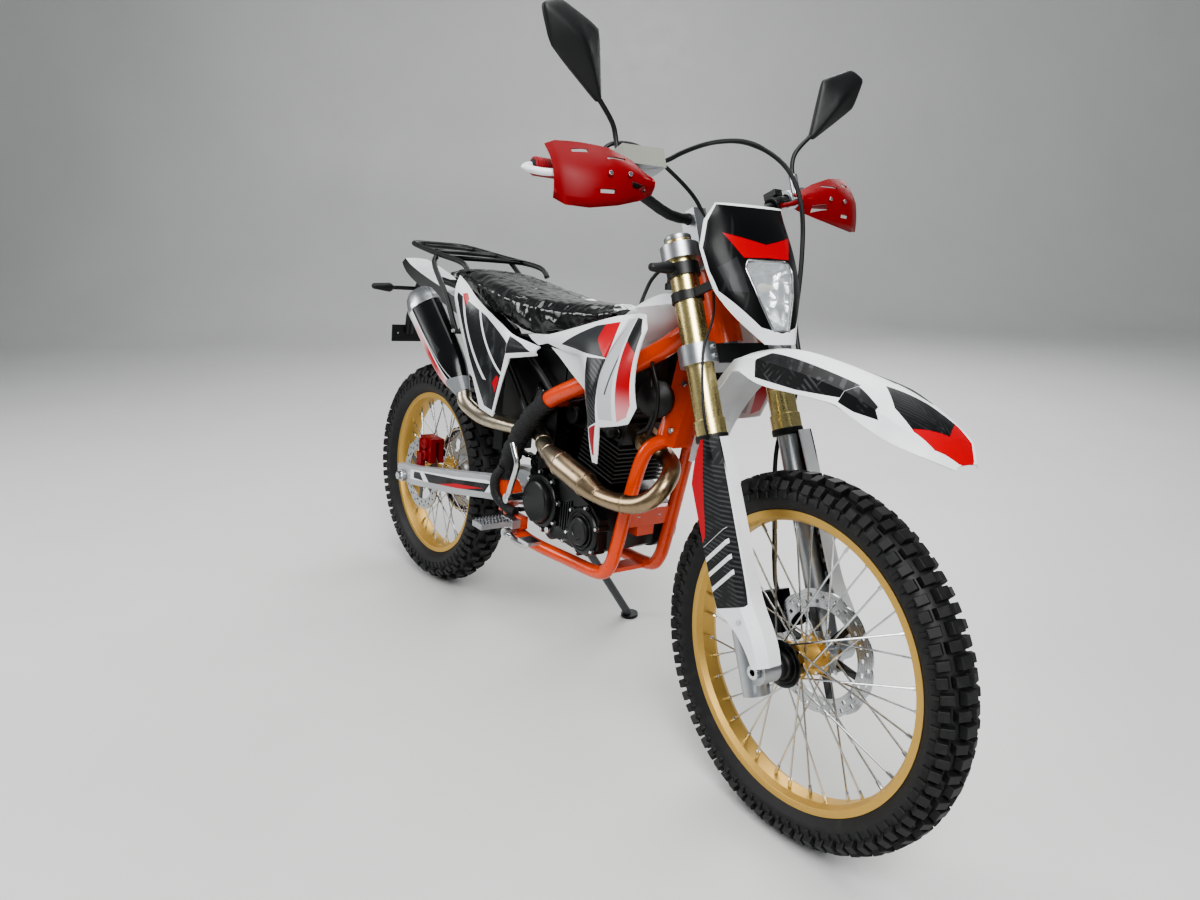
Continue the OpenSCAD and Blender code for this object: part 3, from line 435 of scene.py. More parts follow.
def from_cad(node, finishes, sharp=38, bevel=0.0, rounds=0, pick=None):
    """The solid's own form with its triangles merged, edges eased or surface rounded."""
    bm = bmesh.new()
    bm.from_mesh(NODES[node].data)
    bmesh.ops.remove_doubles(bm, verts=bm.verts, dist=2e-5)
    if rounds:
        bmesh.ops.join_triangles(bm, faces=bm.faces, angle_face_threshold=radians(50),
                                 angle_shape_threshold=radians(75))
        crease = bm.edges.layers.float.new("crease_edge")
        for e in bm.edges:
            if len(e.link_faces) != 2 or e.calc_face_angle(0) > radians(sharp):
                e[crease] = 1.0
        corner = bm.verts.layers.float.new("crease_vert")
        for v in bm.verts:
            arms = [e.other_vert(v).co - v.co for e in v.link_edges if e[crease] > 0]
            if len(arms) > 2 or len(arms) == 2 and arms[0].angle(arms[1], 0) < CORNER_ANGLE:
                v[corner] = 1.0
    else:
        bmesh.ops.dissolve_limit(bm, angle_limit=radians(0.4), verts=bm.verts, edges=bm.edges)
    if pick:
        for f in bm.faces:
            f.material_index = pick(f.calc_center_median())
    name = node + "_form"
    return settle(mesh_of(bm, name), name, BODY[node], finishes, (node,), sharp, bevel, 0.0, rounds)


# Repeated fittings: a stud of so many sides on each seat, turned and sized by the seat


def stud_tree():
    t = bpy.data.node_groups.new("studs", "GeometryNodeTree")
    for name, kind in (("Seats", "Geometry"), ("Sides", "Int"), ("Top Radius", "Float"),
                       ("Foot Radius", "Float"), ("Finish", "Material")):
        t.interface.new_socket(name, in_out="INPUT", socket_type="NodeSocket" + kind)
    t.interface.new_socket("Studs", in_out="OUTPUT", socket_type="NodeSocketGeometry")
    new, link = t.nodes.new, t.links.new
    given, done = new("NodeGroupInput"), new("NodeGroupOutput")
    cone = new("GeometryNodeMeshCone")
    cone.inputs["Depth"].default_value = 1.0
    half, spin = new("ShaderNodeMath"), new("ShaderNodeCombineXYZ")
    square = new("GeometryNodeTransform")
    half.operation = "DIVIDE"
    half.inputs[0].default_value = pi
    link(given.outputs["Sides"], half.inputs[1])
    link(half.outputs["Value"], spin.inputs["Z"])
    link(spin.outputs["Vector"], square.inputs["Rotation"])
    link(cone.outputs["Mesh"], square.inputs["Geometry"])
    lay = new("GeometryNodeInstanceOnPoints")
    for name, socket in (("turn", "Rotation"), ("size", "Scale")):
        a = new("GeometryNodeInputNamedAttribute")
        a.data_type = "FLOAT_VECTOR"
        a.inputs["Name"].default_value = name
        link(a.outputs["Attribute"], lay.inputs[socket])
    real, paint = new("GeometryNodeRealizeInstances"), new("GeometryNodeSetMaterial")
    link(given.outputs["Sides"], cone.inputs["Vertices"])
    link(given.outputs["Top Radius"], cone.inputs["Radius Top"])
    link(given.outputs["Foot Radius"], cone.inputs["Radius Bottom"])
    link(given.outputs["Seats"], lay.inputs["Points"])
    link(square.outputs["Geometry"], lay.inputs["Instance"])
    link(lay.outputs["Instances"], real.inputs["Geometry"])
    link(real.outputs["Geometry"], paint.inputs["Geometry"])
    link(given.outputs["Finish"], paint.inputs["Material"])
    link(paint.outputs["Geometry"], done.inputs["Studs"])
    return t


STUDS = stud_tree()


def studs(name, body, finish, seats, sides=6, top=0.5, foot=0.5, bevel=0.0, sharp=30):
    """Studs on seats, each a frame in metres and a size in metres along its X, Y and Z."""
    me = bpy.data.meshes.new(name)
    me.from_pydata([m.translation for m, s in seats], [], [])
    turn = me.attributes.new("turn", "FLOAT_VECTOR", "POINT")
    size = me.attributes.new("size", "FLOAT_VECTOR", "POINT")
    for i, (m, s) in enumerate(seats):
        turn.data[i].vector = m.to_euler("XYZ")
        size.data[i].vector = s
    ob = added(name + "_seats", me)
    mod = ob.modifiers.new("studs", "NODES")
    mod.node_group = STUDS
    given = {"Sides": sides, "Top Radius": top, "Foot Radius": foot, "Finish": finish.mat}
    for item in STUDS.interface.items_tree:
        v = given.get(item.name)
        if v is not None and item.in_out == "INPUT":
            mod[item.identifier] = v
    made = baked(ob)
    bpy.data.objects.remove(ob)
    made.name = name
    made.materials.clear()
    return settle(made, name, body, finish, (), sharp, bevel)


def bolt_seats(where, spots):
    """Seats for heads and pins from place, outward direction, radius and height."""
    turn = where.to_quaternion().to_matrix()
    out = []
    for p, d, r, h in spots:
        m = aim(where @ Vector(p), turn @ Vector(d))
        out.append((m, (r * 0.002, r * 0.002, h * 0.001)))
    return out


# Camera at the photograph's angle, floor and light


def studio():
    yaw, pitch, roll = radians(143.071), radians(-18.121), radians(-0.928)
    ahead = Vector((cos(pitch) * cos(yaw), cos(pitch) * sin(yaw), sin(pitch)))
    right = Vector((sin(yaw), -cos(yaw), 0))
    up = right.cross(ahead)
    right, up = cos(roll) * right + sin(roll) * up, cos(roll) * up - sin(roll) * right
    cam = bpy.data.cameras.new("view")
    cam.lens, cam.sensor_width, cam.clip_end = 27.0, 36.0, 60
    ob = added("view", cam)
    m = Matrix((right, up, -ahead)).transposed().to_4x4()
    m.translation = Vector((2.36867, -1.1276, 1.2379)) + PARKED
    ob.matrix_world = m
    bpy.context.scene.camera = ob

    ground = Finish("studio_floor")
    cloud = ground.noise(1.3, detail=6.0)
    ground.feed(Base_Color=ground.mix(cloud, tint("#c9cac8"), tint("#d6d7d5")),
                Roughness=0.42 + 0.2 * (ground.noise(7) - 0.5)).bump(ground.noise(90), 0.0002)
    s = Shape(Matrix())
    wall = [(-8.0, 0.0), (4.2, 0.0)] + [(4.2 + 1.5 * sin(a), 1.5 - 1.5 * cos(a))
                                       for a in [radians(d) for d in range(10, 91, 10)]] + [(5.7, 6.0)]
    s.sheet([[(x, y, z) for x in (-12, 12)] for y, z in wall])
    s.bm.transform(Matrix.Rotation(radians(53), 4, "Z"))
    me = mesh_of(s.bm, "floor")
    me.shade_smooth()
    me.materials.append(ground.mat)
    added("floor", me)

    world = bpy.data.worlds.new("studio")
    bpy.context.scene.world = world
    world.use_nodes = True
    world.node_tree.nodes["Background"].inputs[0].default_value = (0.93, 0.96, 1.0, 1)
    world.node_tree.nodes["Background"].inputs[1].default_value = 0.22
    for name, spot, watts, size in (
            ("key", (3.0, -1.6, 3.4), 170, 2.0), ("side", (-2.4, -3.0, 2.6), 90, 2.2),
            ("top", (0, 0.2, 4.2), 100, 3.0), ("back", (-1.6, 2.9, 2.6), 70, 2.2)):
        light = bpy.data.lights.new(name, "AREA")
        light.energy, light.size = watts, size
        lamp = added(name, light)
        lamp.location = spot
        lamp.rotation_euler = (Vector((0, 0, 0.5)) - Vector(spot)).to_track_quat("-Z", "Y").to_euler()


studio()
bpy.context.scene.view_settings.look = "AgX - Medium High Contrast"

# Wheels


def tyre(name, where, r, w, bead_r, bead_y, count):
    """Carcass and its blocks: one on the crown, then a pair, with shoulder blocks and ribs."""
    half, lug = w / 2, 12
    mid = r - half
    body = name + "_wheel"
    arc = [radians(a) for a in range(-118, 119, 8)]
    outer = [(mid + (half - lug) * cos(a), (half - 4) * sin(a)) for a in arc]
    profile = [(bead_r + 0.6, -bead_y + 1)] + outer + [(bead_r + 0.6, bead_y - 1)]
    profile += [(bead_r + 6, bead_y - 8), (mid + half - 22, half * 0.55), (mid + half - 20, 0),
                (mid + half - 22, -half * 0.55), (bead_r + 6, -bead_y + 8)]
    s = Shape(where).lathe(profile, WHEEL_UP, 120, 0, True)
    s.piece(name + "_carcass", body, RUBBER, (name + "_tyre",), sharp=50)
    # Each block: angle round the section, length, width and share of the full height
    crown = [(0.0, 21, 29, 1), (52, 16, 21, 1), (-52, 16, 21, 1)]
    pair = [(20, 17, 23, 1), (-20, 17, 23, 1), (60, 18, 18, 1), (-60, 18, 18, 1)]
    ribs = [(82, 7, 17, 0.36), (-82, 7, 17, 0.36)]
    seats = []
    turn = where.to_quaternion().to_matrix().to_4x4()
    for i in range(count):
        spin = Matrix.Rotation(tau * i / count, 4, "Y")
        for lay, long, wide, tall in (crown if i % 2 == 0 else pair) + ribs:
            a = radians(lay)
            foot = Vector((mid + (half - lug - 2) * cos(a), (half - 6) * sin(a), 0))
            z = (spin @ Vector((cos(a), sin(a) * 0.92, 0)).normalized()).normalized()
            x = (spin @ Vector((0, 0, 1))).normalized()
            m = turn @ Matrix((x, z.cross(x), z)).transposed().to_4x4()
            m.translation = where @ (spin @ foot)
            seats.append((m, (long * 0.001, wide * 0.001, (lug + 1.4) * tall * 0.001)))
    studs(name + "_knobs", body, RUBBER, seats, 4, 0.68, 0.78, 0.0012, 20)


tyre("front", FRONT, FRONT_R, 88, 280, 27, 80)
tyre("rear", REAR, REAR_R, 112, 243, 33, 72)
for part, finish in (("rim", RIM_GOLD), ("axle", STEEL)):
    for end in ("front_", "rear_"):
        from_cad(end + part, finish, 30, 0.0008)
from_cad("sprocket", ALLOY, 30)


def laced_hub(node, where, flange_r, flange_y, core_r, bore_r, half_l, rim_r):
    """Hub barrel with crossed spokes and their nipples."""
    s = Shape(where)
    neck = core_r * 0.72
    near = [(bore_r, half_l), (neck, half_l), (neck, flange_y + 3), (flange_r, flange_y + 3),
            (flange_r, flange_y - 3), (core_r + 4, flange_y - 5), (core_r, flange_y * 0.5)]
    s.lathe([(r, -h) for r, h in near] + near[::-1], WHEEL_UP, 64, 0, True)
    for i in range(36):
        a = radians(i * 10)
        side = 1 if i % 2 == 0 else -1
        lace = 1 if (i // 2) % 2 == 0 else -1
        b = a + lace * radians(62)
        p = Vector(((flange_r - 5) * cos(b), side * (flange_y + 4.2 * lace), (flange_r - 5) * sin(b)))
        e = Vector(((rim_r - 19) * cos(a), side * 4, (rim_r - 19) * sin(a)))
        d = (e - p).normalized()
        s.tube([p, e], 1.9, 8, 1)
        s.lathe([(3.6, 0), (3.6, 14), (2.4, 18)], aim(e - 19 * d, d), 8, 1)
        s.rod(p - Vector((0, lace * side * 4, 0)), p + Vector((0, lace * side * 2, 0)), 3.4, 8, 1)
    s.piece(node + "_laced", BODY[node], [RIM_GOLD, STEEL], (node,), sharp=35)


def petal_disc(node, where, y, r, lobes, finish, boss):
    """Slotted ring with a waved rim, on a carrier of six arms."""
    n = lobes * 18
    bands = [0.71 * r, 0.77 * r, 0.83 * r, 0.87 * r, 0.93 * r]
    s = Shape(where)
    spots = {}

    def kept(i, j):
        slot = j == 1 and i % 9 in (2, 3, 4) or j == 3 and (i + 4) % 9 in (2, 3)
        return 0 <= j < 5 and not slot

    def spot(i, j, k):
        key = (i % n, j, k)
        if key not in spots:
            a = tau * key[0] / n
            q = bands[j] if j < 5 else r - 5 + 5 * abs(cos(lobes * a / 2)) ** 0.7
            spots[key] = s.bm.verts.new((q * cos(a), y + (2 if k else -2), q * sin(a)))
        return spots[key]

    for i in range(n):
        for j in range(5):
            if not kept(i, j):
                continue
            ring = [(i, j), (i + 1, j), (i + 1, j + 1), (i, j + 1)]
            for k in (0, 1):
                s.bm.faces.new([spot(*c, k) for c in ring])
            beside = (kept(i, j - 1), kept((i + 1) % n, j), kept(i, j + 1), kept((i - 1) % n, j))
            for e, whole in enumerate(beside):
                if not whole:
                    a, b = ring[e], ring[(e + 1) % 4]
                    s.bm.faces.new([spot(*a, 0), spot(*b, 0), spot(*b, 1), spot(*a, 1)])
    s.piece(node + "_ring", BODY[node], finish, (node,), sharp=30)
    s = Shape(where)
    lo, hi, bore, rim = boss
    s.lathe([(bore, lo), (rim, lo), (rim, y - 1.6), (rim + 10, y - 1.6), (rim + 10, y + 1.6),
             (rim, y + 1.6), (rim, hi), (bore, hi)], WHEEL_UP, 48, 0, True)
    for i in range(6):
        turn = Matrix.Rotation(tau * (i + 0.5) / 6, 4, "Y")
        s.block((rim + 6, y - 1.5, -8), (0.74 * r, y + 1.5, 8), turn)
    s.piece(node + "_carrier", BODY[node], GLOSS, sharp=30, bevel=0.0004)


petal_disc("front_disc", FRONT, 52, 122, 12, DISC_F, (48.3, 54.4, 16, 34))
petal_disc("rear_disc", REAR, -66, 108, 10, DISC_R, (-68.4, -37.3, 23.3, 36))
laced_hub("front_hub", FRONT, 38, 30, 22, 9.95, 48, 280)
laced_hub("rear_hub", REAR, 48, 30.5, 32, 11.95, 62, 243)

# Panel graphics: outlines are in millimetres of the upright machine
FILM_RED, STRIPE_RED, FILM_WHITE = tint("#b00c18"), tint("#b5101c"), tint("#e6e8ea")


def hatch(f, u, v, dark="#0e0f10", pale="#3a3c3e"):
    """Dark film printed with broken slanting lines that change direction in patches."""
    patch = f.cells(16).rise(0.25, 0.3)
    one = (u * 0.5 + v).wave(4.5).rise(0.5, 0.72)
    two = (u - v * 0.6).wave(6.0).rise(0.62, 0.8)
    lines = (patch * one).high((1 - patch) * two) * f.noise(24).rise(0.42, 0.55)
    return f.mix(lines, tint(dark), tint(pale))


def panel(name, where, draw, rough=0.36, coat=0.1, shine=0.28):
    """Moulded panel with printed film: draw gives the layers over white from the three axes."""
    f = Finish(name, {"Coat Weight": coat, "Coat Roughness": 0.1, "Specular IOR Level": shine})
    cloud = f.noise(9)
    white = f.mix(cloud.rise(0.3, 0.7), tint("#dadcde"), tint("#ebedee"))
    layers = draw(f, *f.axes(where))
    f.feed(Base_Color=f.layers(white, *layers), Roughness=rough + 0.14 * (cloud - 0.5))
    return f.bump(f.noise(700, detail=2.0), 0.00004)


def fender_film(f, x, y, z):
    side = abs(y)
    flank = f.area(x, z, [(1282, 884), (1300, 850), (1400, 855), (1492, 853), (1496, 886),
                          (1400, 908), (1300, 918)])
    flank = flank * side.rise(43, 44.5)
    nose = f.area(x, z, [(1492, 853), (1524, 843), (1566, 838), (1548, 862), (1496, 888)])
    nose = nose * (side - (x - 1490) * 0.3).rise(47, 48.5)
    front = f.area(x, side, [(1498, -9), (1690, -9), (1676, 20), (1650, 47), (1616, 57), (1566, 45)])
    tip = front * (x + side * 0.55).rise(1640, 1641)
    film = hatch(f, x, z)
    return ((flank, film), (nose, film), (front, hatch(f, x, side, "#0d0e0f", "#2a2c2e")),
            (tip, FILM_RED))


def mask_film(f, x, y, z):
    side = abs(y)
    dark = f.area(side, z, [(-9, 928), (44, 940), (104, 998), (113, 1032), (117, 1072), (101, 1120),
                            (84, 1151), (-9, 1151)])
    band = f.area(side, z, [(-9, 1062), (58, 1060), (86, 1102), (-9, 1084)])
    facet = f.area(side, z, [(60, 1000), (92, 1000), (104, 1040), (70, 1062)])
    crease = (z * 0.3 + side).wave(19).rise(0.86, 0.9) * (side - 60).rise(0, 2)
    return ((dark, f.mix(crease * 0.5, tint("#0b0c0d"), tint("#2c2e30"))),
            (facet * dark, tint("#26282a")), (band * dark, FILM_RED))


def fork_guard_film(f, x, y, z):
    dark = f.area(x, z, [(-13, 116), (34, 94), (72, 120), (68, 428), (28, 428), (4, 396), (-13, 348)])
    dark = dark * abs(y).rise(118, 119)
    corner = f.area(x, z, [(-13, 232), (2, 250), (22, 351), (-24, 351), (-24, 250)])
    corner = corner.high(f.area(x, z, [(-24, 350), (22, 350), (34, 396), (44, 432), (8, 432)]))
    bars = f.area(x, z, [(-20, 140), (60, 176), (60, 262), (-20, 226)])
    bars = bars * (z - x * 0.45).wave(14).rise(0.66, 0.72)
    foot = 1 - z.rise(116, 118)
    return ((dark, hatch(f, x, z, "#0d0e0f", "#37393b")), (dark * bars, tint("#d9dbdc")),
            (corner, FILM_RED), (foot, FILM_WHITE))


def shroud_film(f, x, y, z):
    top = f.area(x, z, [(772, 836), (902, 836), (968, 836), (944, 908), (882, 892)])
    low = f.area(x, z, [(904, 830), (918, 766), (948, 690), (976, 708), (974, 836)])
    spear = f.area(x, z, [(950, 690), (954, 634), (960, 634), (974, 704)])
    pale = f.area(x, z, [(984, 716), (1028, 722), (1034, 926), (962, 916)])
    red = f.area(x, z, [(1040, 722), (1068, 738), (1078, 764), (1080, 902), (1066, 928), (1040, 928)])
    tooth = f.area(x, z, [(1040, 884), (1092, 858), (1092, 940), (1040, 940)]) * red
    zig = f.area(x, z, [(912, 868), (952, 836), (964, 836), (944, 908), (906, 898)])
    fade = 1 - z.rise(736, 800)
    lines = (x * 1.1 - z * 0.35).wave(31).rise(0.9, 0.93) * z.rise(770, 772)
    return ((top, tint("#303234")), (zig, STRIPE_RED), (low, hatch(f, x, z, "#121315", "#47494b")),
            (spear, tint("#98101a")), (pale, f.mix(lines, tint("#c3c6c8"), tint("#4a4d50"))),
            (red, f.mix(fade * 0.75, FILM_RED, tint("#e9a8ad"))), (tooth, tint("#141516")))


def side_film(f, x, y, z):
    main = f.area(x, z, [(294, 872), (326, 814), (378, 744), (440, 638), (498, 630), (530, 724),
                         (546, 778), (546, 822), (436, 856), (318, 912), (294, 922)])
    tail = f.area(x, z, [(546, 780), (650, 799), (604, 812), (546, 823)])

    def arc(u, v, r, half):
        """Band along a circle."""
        far = ((x - u) * (x - u) + (z - v) * (z - v)) ** 0.5
        return 1 - abs(far - r).rise(half, half + 1)

    thin, thick = arc(650, 962, 262, 3.2), arc(700, 1010, 392, 4.5) * z.rise(700, 702)
    glow = f.noise(16, stretch=(1, 1, 0.6)).rise(0.5, 0.68)
    film = f.mix(glow, tint("#191b1d"), tint("#4a4e52"))
    red1 = f.area(x, z, [(318, 898), (340, 866), (352, 888), (338, 902)])
    red2 = f.area(x, z, [(494, 700), (508, 676), (524, 716), (512, 722)])
    return ((main, film), (tail, tint("#232527")), (thin * main, FILM_WHITE),
            (thick * main, tint("#dcdedf")), (red1, STRIPE_RED), (red2, STRIPE_RED))


def muffler_film(f, x, y, z):
    diagonal = 0.7071
    along = ((352 - x) + (z - 642)) * diagonal
    up = ((z - 642) + (x - 352)) * diagonal
    stripe = 1 - up.rise(3, 4)
    red = f.mix(along.rise(40, 96), tint("#e8a9ae"), STRIPE_RED)
    red = f.mix(along.rise(128, 190), red, tint("#e7b6ba"))
    red = f.mix(along.rise(210, 250), red, tint("#e4e6e7"))
    edge = 1 - abs(up - 5).rise(1.6, 2.4)
    patch = f.area(along, up, [(-10, -34), (34, -30), (46, 0), (34, 46), (-10, 46)])
    line = 1 - abs(up - 18 + along * 0.06).rise(0.9, 1.5)
    sweep = f.area(along, up, [(90, -14), (230, -18), (262, 8), (120, 30)])
    black = f.mix(f.noise(20), tint("#0b0c0d"), tint("#17191a"))
    return ((along * 0 + 1, black), (sweep, tint("#2b2e30")), (line, tint("#a9acae")),
            (stripe, red), (edge, tint("#e4e6e7")), (patch, tint("#7d8184")))


def arm_film(f, x, y, z):
    mid = z - 331 - (x + 46) * 0.171
    body = f.area(x, mid, [(40, -17), (440, -17), (452, 12), (424, 17), (40, 12)])
    dark = f.area(x, mid, [(150, -17), (420, -17), (440, 8), (120, 9)])
    red = f.area(x, mid, [(190, -17), (330, -17), (420, -7), (300, -4)])
    tail = f.area(x, mid, [(60, -12), (120, -16), (96, 8), (60, 8)])
    alloy = f.mix(f.noise(60, stretch=(0.1, 1, 1)), tint("#8e9194"), tint("#b3b6b9"))
    return ((x * 0 + 1, alloy), (body, tint("#e1e3e5")), (dark, hatch(f, x, z, "#101112", "#3b3d3f")),
            (red, STRIPE_RED), (tail, tint("#1a1b1c")))


FENDER = panel("front_fender_film", BARS, fender_film, 0.5, 0.0, 0.12)
MASK = panel("mask_film", BARS, mask_film, 0.3, 0.06, 0.16)
FORK_GUARD = panel("fork_guard_film", STEM, fork_guard_film)
SHROUD = panel("shroud_film", BIKE, shroud_film)
SIDE = panel("side_panel_film", BIKE, side_film, 0.22, 0.3)
MUFFLER = panel("muffler_film", BIKE, muffler_film, 0.2)
ARM = panel("swingarm_film", BIKE, arm_film, 0.34, 0.1)

# Seat: foam under vinyl, wrapped in clear film; sizes in metres
SEAT_SHRINK, SEAT_HOLD, SEAT_VOXEL, SEAT_FRAMES = 0.005, 0.006, 0.005, 20


def film_black():
    f = Finish("seat_vinyl_in_film",
               {"Coat Weight": 0.6, "Coat Roughness": 0.08, "Specular IOR Level": 0.5})
    bent = f.noise(3.0, detail=2.0)
    skew = f.node("ShaderNodeMapping", None, {0: f.at(), 2: (0.5, 0.35, 0.6), 3: (0.55, 1.7, 1.2)})
    folds = f.node("ShaderNodeTexNoise", {"noise_type": "RIDGED_MULTIFRACTAL"},
                   {"Vector": skew, "Scale": 15.0, "Detail": 2.5, "Roughness": 0.5,
                    "Lacunarity": 2.3, "Distortion": 0.8})
    # Painted highlights: the fold ridges are paler in the colour, as if they caught the light
    painted_fold_highlights = folds.rise(0.8, 1.15)
    f.feed(Base_Color=f.mix(painted_fold_highlights * 0.7, tint("#0b0c0c"), tint("#b4b8ba")),
           Roughness=0.2 + 0.25 * (bent - 0.4))
    return f.bump(folds, 0.011, 1.0)


def seat_pad():
    """Foam swelled by pressure inside the solid's shape, then crumpled by its film."""
    bm = bmesh.new()
    bm.from_mesh(NODES["seat"].data)
    bmesh.ops.remove_doubles(bm, verts=bm.verts, dist=2e-5)
    bm.normal_update()
    for v in bm.verts:
        v.co -= v.normal * SEAT_SHRINK
    ob = added("seat_pad", mesh_of(bm, "seat_pad"))

    def applied():
        done = baked(ob)
        ob.modifiers.clear()
        ob.data = done

    grid = ob.modifiers.new("grid", "REMESH")
    grid.mode, grid.voxel_size = "VOXEL", SEAT_VOXEL
    applied()
    start = [v.co.copy() for v in ob.data.vertices]
    cloth = ob.modifiers.new("swell", "CLOTH")
    cloth.settings.use_pressure = True
    cloth.settings.uniform_pressure_force = 4.0
    cloth.settings.effector_weights.gravity = 0.0
    cloth.settings.quality = 4
    scene = bpy.context.scene
    for i in range(1, SEAT_FRAMES + 1):
        scene.frame_set(i)
    applied()
    scene.frame_set(1)
    bend = lambda p, k: noise.ridged_multi_fractal(
        p * k, 0.9, 2.1, 3, 1.0, 2.0, noise_basis="PERLIN_ORIGINAL")
    for v, home in zip(ob.data.vertices, start):
        step = v.co - home
        if step.length > SEAT_HOLD:
            v.co = home + step.normalized() * SEAT_HOLD
    ob.data.update()
    normals = [v.normal.copy() for v in ob.data.vertices]
    for v, n in zip(ob.data.vertices, normals):
        if n.z > -0.2:
            q = Vector((v.co.x * 1.6, v.co.y, v.co.z * 1.3))
            v.co += n * (0.0026 * (bend(q, 13) - 1.0) + 0.0012 * (bend(q, 31) - 1.0))
    ob.data.update()
    ob.data.materials.append(film_black().mat)
    ob.data.shade_smooth()
    smooth = ob.modifiers.new("smooth", "SUBSURF")
    smooth.levels = smooth.render_levels = 1
    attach(ob, BODY["seat"])
    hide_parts("seat")


seat_pad()

# Headlamp

# Mask sections: height, edge, half width and crown; then the lens: height and half width
LAMP_ROWS = [(910, 1264, 38, 1272), (950, 1224, 76, 1258), (992, 1192, 106, 1244),
             (1032, 1170, 114, 1226), (1072, 1150, 118, 1202), (1120, 1136, 102, 1180),
             (1153, 1140, 84, 1152)]
LAMP_EDGE = [(934, 20), (990, 44), (1040, 60), (1058, 50)]


def between(rows, t, k):
    for a, b in zip(rows, rows[1:]):
        if t <= b[0]:
            u = max(0.0, (t - a[0]) / (b[0] - a[0]))
            return a[k] + (b[k] - a[k]) * u
    return rows[-1][k]


def mask_face(y, z):
    """How far ahead the mask's skin lies."""
    edge, half, crown = (between(LAMP_ROWS, z, k) for k in (1, 2, 3))
    bow = between([(0, 0.98), (0.2, 0.98), (0.5, 0.86), (0.82, 0.55), (1, 0)], min(1, abs(y) / half), 1)
    return edge + (crown - edge) * bow


def lamp_grid(ahead, inset=0.0, bowl=0.0, across=21, rows=19):
    out = []
    for i in range(rows):
        z = 934 + inset + (124 - 2 * inset) * i / (rows - 1)
        half = between(LAMP_EDGE, z, 1) - inset
        line = []
        for j in range(across):
            u = 2 * j / (across - 1) - 1
            deep = bowl * (1 - u * u) ** 0.5 * (1 - (2 * i / (rows - 1) - 1) ** 4)
            line.append(Vector((mask_face(u * half, z) + ahead - deep, u * half, z)))
        out.append(line)
    return out


def headlamp():
    lens = Finish("clear_lens", {"Roughness": 0.03, "Coat Weight": 0.4, "Alpha": 0.2})
    lens.feed(Base_Color=lens.mix(lens.noise(30), tint("#dfe6ea"), tint("#f2f6f8")))
    lens.bump(lens.noise(20), 0.0001)
    chrome = Finish("reflector_chrome", {"Metallic": 1.0})
    _, y, z = chrome.axes(BARS)
    facets_and_reflections = (abs(y) + z * 0.4).wave(13).high((z - abs(y) * 0.3).wave(15))
    # Painted reflections: the reflector's colour runs from dark to light across each facet; the same
    # pattern also sets its roughness and relief
    chrome.feed(Base_Color=chrome.mix(facets_and_reflections, tint("#5c6165"), tint("#c9cdd0")),
                Roughness=0.1 + 0.1 * facets_and_reflections)
    chrome.bump(facets_and_reflections, 0.0012)
    Shape(BARS).sheet(lamp_grid(2.2, 0.5)).piece(
        "headlamp_lens", "steering", lens, ("headlamp",), wall=0.0024, sharp=60)
    Shape(BARS).sheet(lamp_grid(-4.0, 1.2, 44)).piece(
        "headlamp_reflector", "steering", chrome, wall=0.0015, sharp=60)
    loop = [Vector((mask_face(s * between(LAMP_EDGE, z, 1), z) + 2.6, s * between(LAMP_EDGE, z, 1), z))
            for s, zs in ((1, range(934, 1059, 6)), (-1, range(1054, 933, -6))) for z in zs]
    Shape(BARS).tube(loop + loop[:2], 2.4, 8).piece("headlamp_bezel", "steering", STEEL, sharp=60)
    bulb = Finish("bulb_glass", {"Roughness": 0.08, "Alpha": 0.55})
    bulb.feed(Base_Color=bulb.mix(bulb.noise(40), tint("#d9c9a2"), tint("#f1ead6")))
    at = aim((mask_face(0, 1006) - 40, 0, 1006), (1, 0, 0.1))
    Shape(BARS).lathe([(3, 0), (9, 2), (9, 12), (6, 18), (5.5, 30), (3, 35), (0.1, 36)], at, 20).piece(
        "headlamp_bulb", "steering", bulb)


headlamp()

# Frame, pipe and engine


def cut(ob, cutter):
    """Take a Shape's solids out of a finished piece."""
    bm = cutter.bm
    bm.transform(cutter.where)
    bmesh.ops.recalc_face_normals(bm, faces=bm.faces)
    me = mesh_of(bm, "cutter")
    tool = added("cutter", me)
    m = ob.modifiers.new("slots", "BOOLEAN")
    m.object, m.solver = tool, "EXACT"
    done = baked(ob)
    ob.modifiers.clear()
    ob.data = done
    done.shade_smooth()
    done.set_sharp_from_angle(angle=radians(38))
    bpy.data.objects.remove(tool)
    bpy.data.meshes.remove(me)


SPAR = [FOOT + 664 * UP - 40 * AHEAD + Vector((0, 28, 0)), (982, 74, 842), (806, 106, 752),
        (694, 114, 692), (606, 118, 604), (552, 118, 496), (562, 118, 392)]
CRADLE = [(1018, 34, 672), (990, 62, 640), (964, 70, 530), (942, 72, 420), (926, 73, 366),
          (892, 75, 338), (780, 80, 331), (650, 98, 334), (592, 110, 356), (566, 116, 396)]
from_cad("frame", ORANGE, 40)
tubes = Shape()
tubes.tube(run(SPAR, 8), 20.4, 28).tube(run(CRADLE, 8), 15.4, 28).mirror()
tubes.piece("frame_tubes", "chassis", ORANGE, sharp=60)


def sleeve_cloth():
    f = Finish("braided_sleeve")
    x, _, z = f.axes(BIKE)
    weave = (x + z * 0.4).wave(2.6) * (z - x * 0.5).wave(2.6)
    f.feed(Base_Color=f.mix(weave * f.noise(60), tint("#0d0d0e"), tint("#37383a")),
           Roughness=0.5 + 0.3 * weave)
    return f.bump(weave, 0.0012)


SLEEVE = sleeve_cloth()
wrap = run([(p[0], -p[1], p[2]) for p in SPAR], 14)
wrap = [q for q in wrap if 470 < q[2] < 700]
folds = [24.4 + 1.8 * sin(i * 2.4) + 1.6 * sin(i * 0.9) for i in range(len(wrap))]
Shape().tube(wrap, folds, 28).piece("loom_sleeve", "chassis", SLEEVE, sharp=70)
tail = run([(560, -138, 500), (548, -150, 470), (552, -146, 430), (580, -132, 404),
            (610, -124, 400)], 6)
Shape().tube(tail, 12, 16).piece("loom_tail", "chassis", SLEEVE, sharp=70)

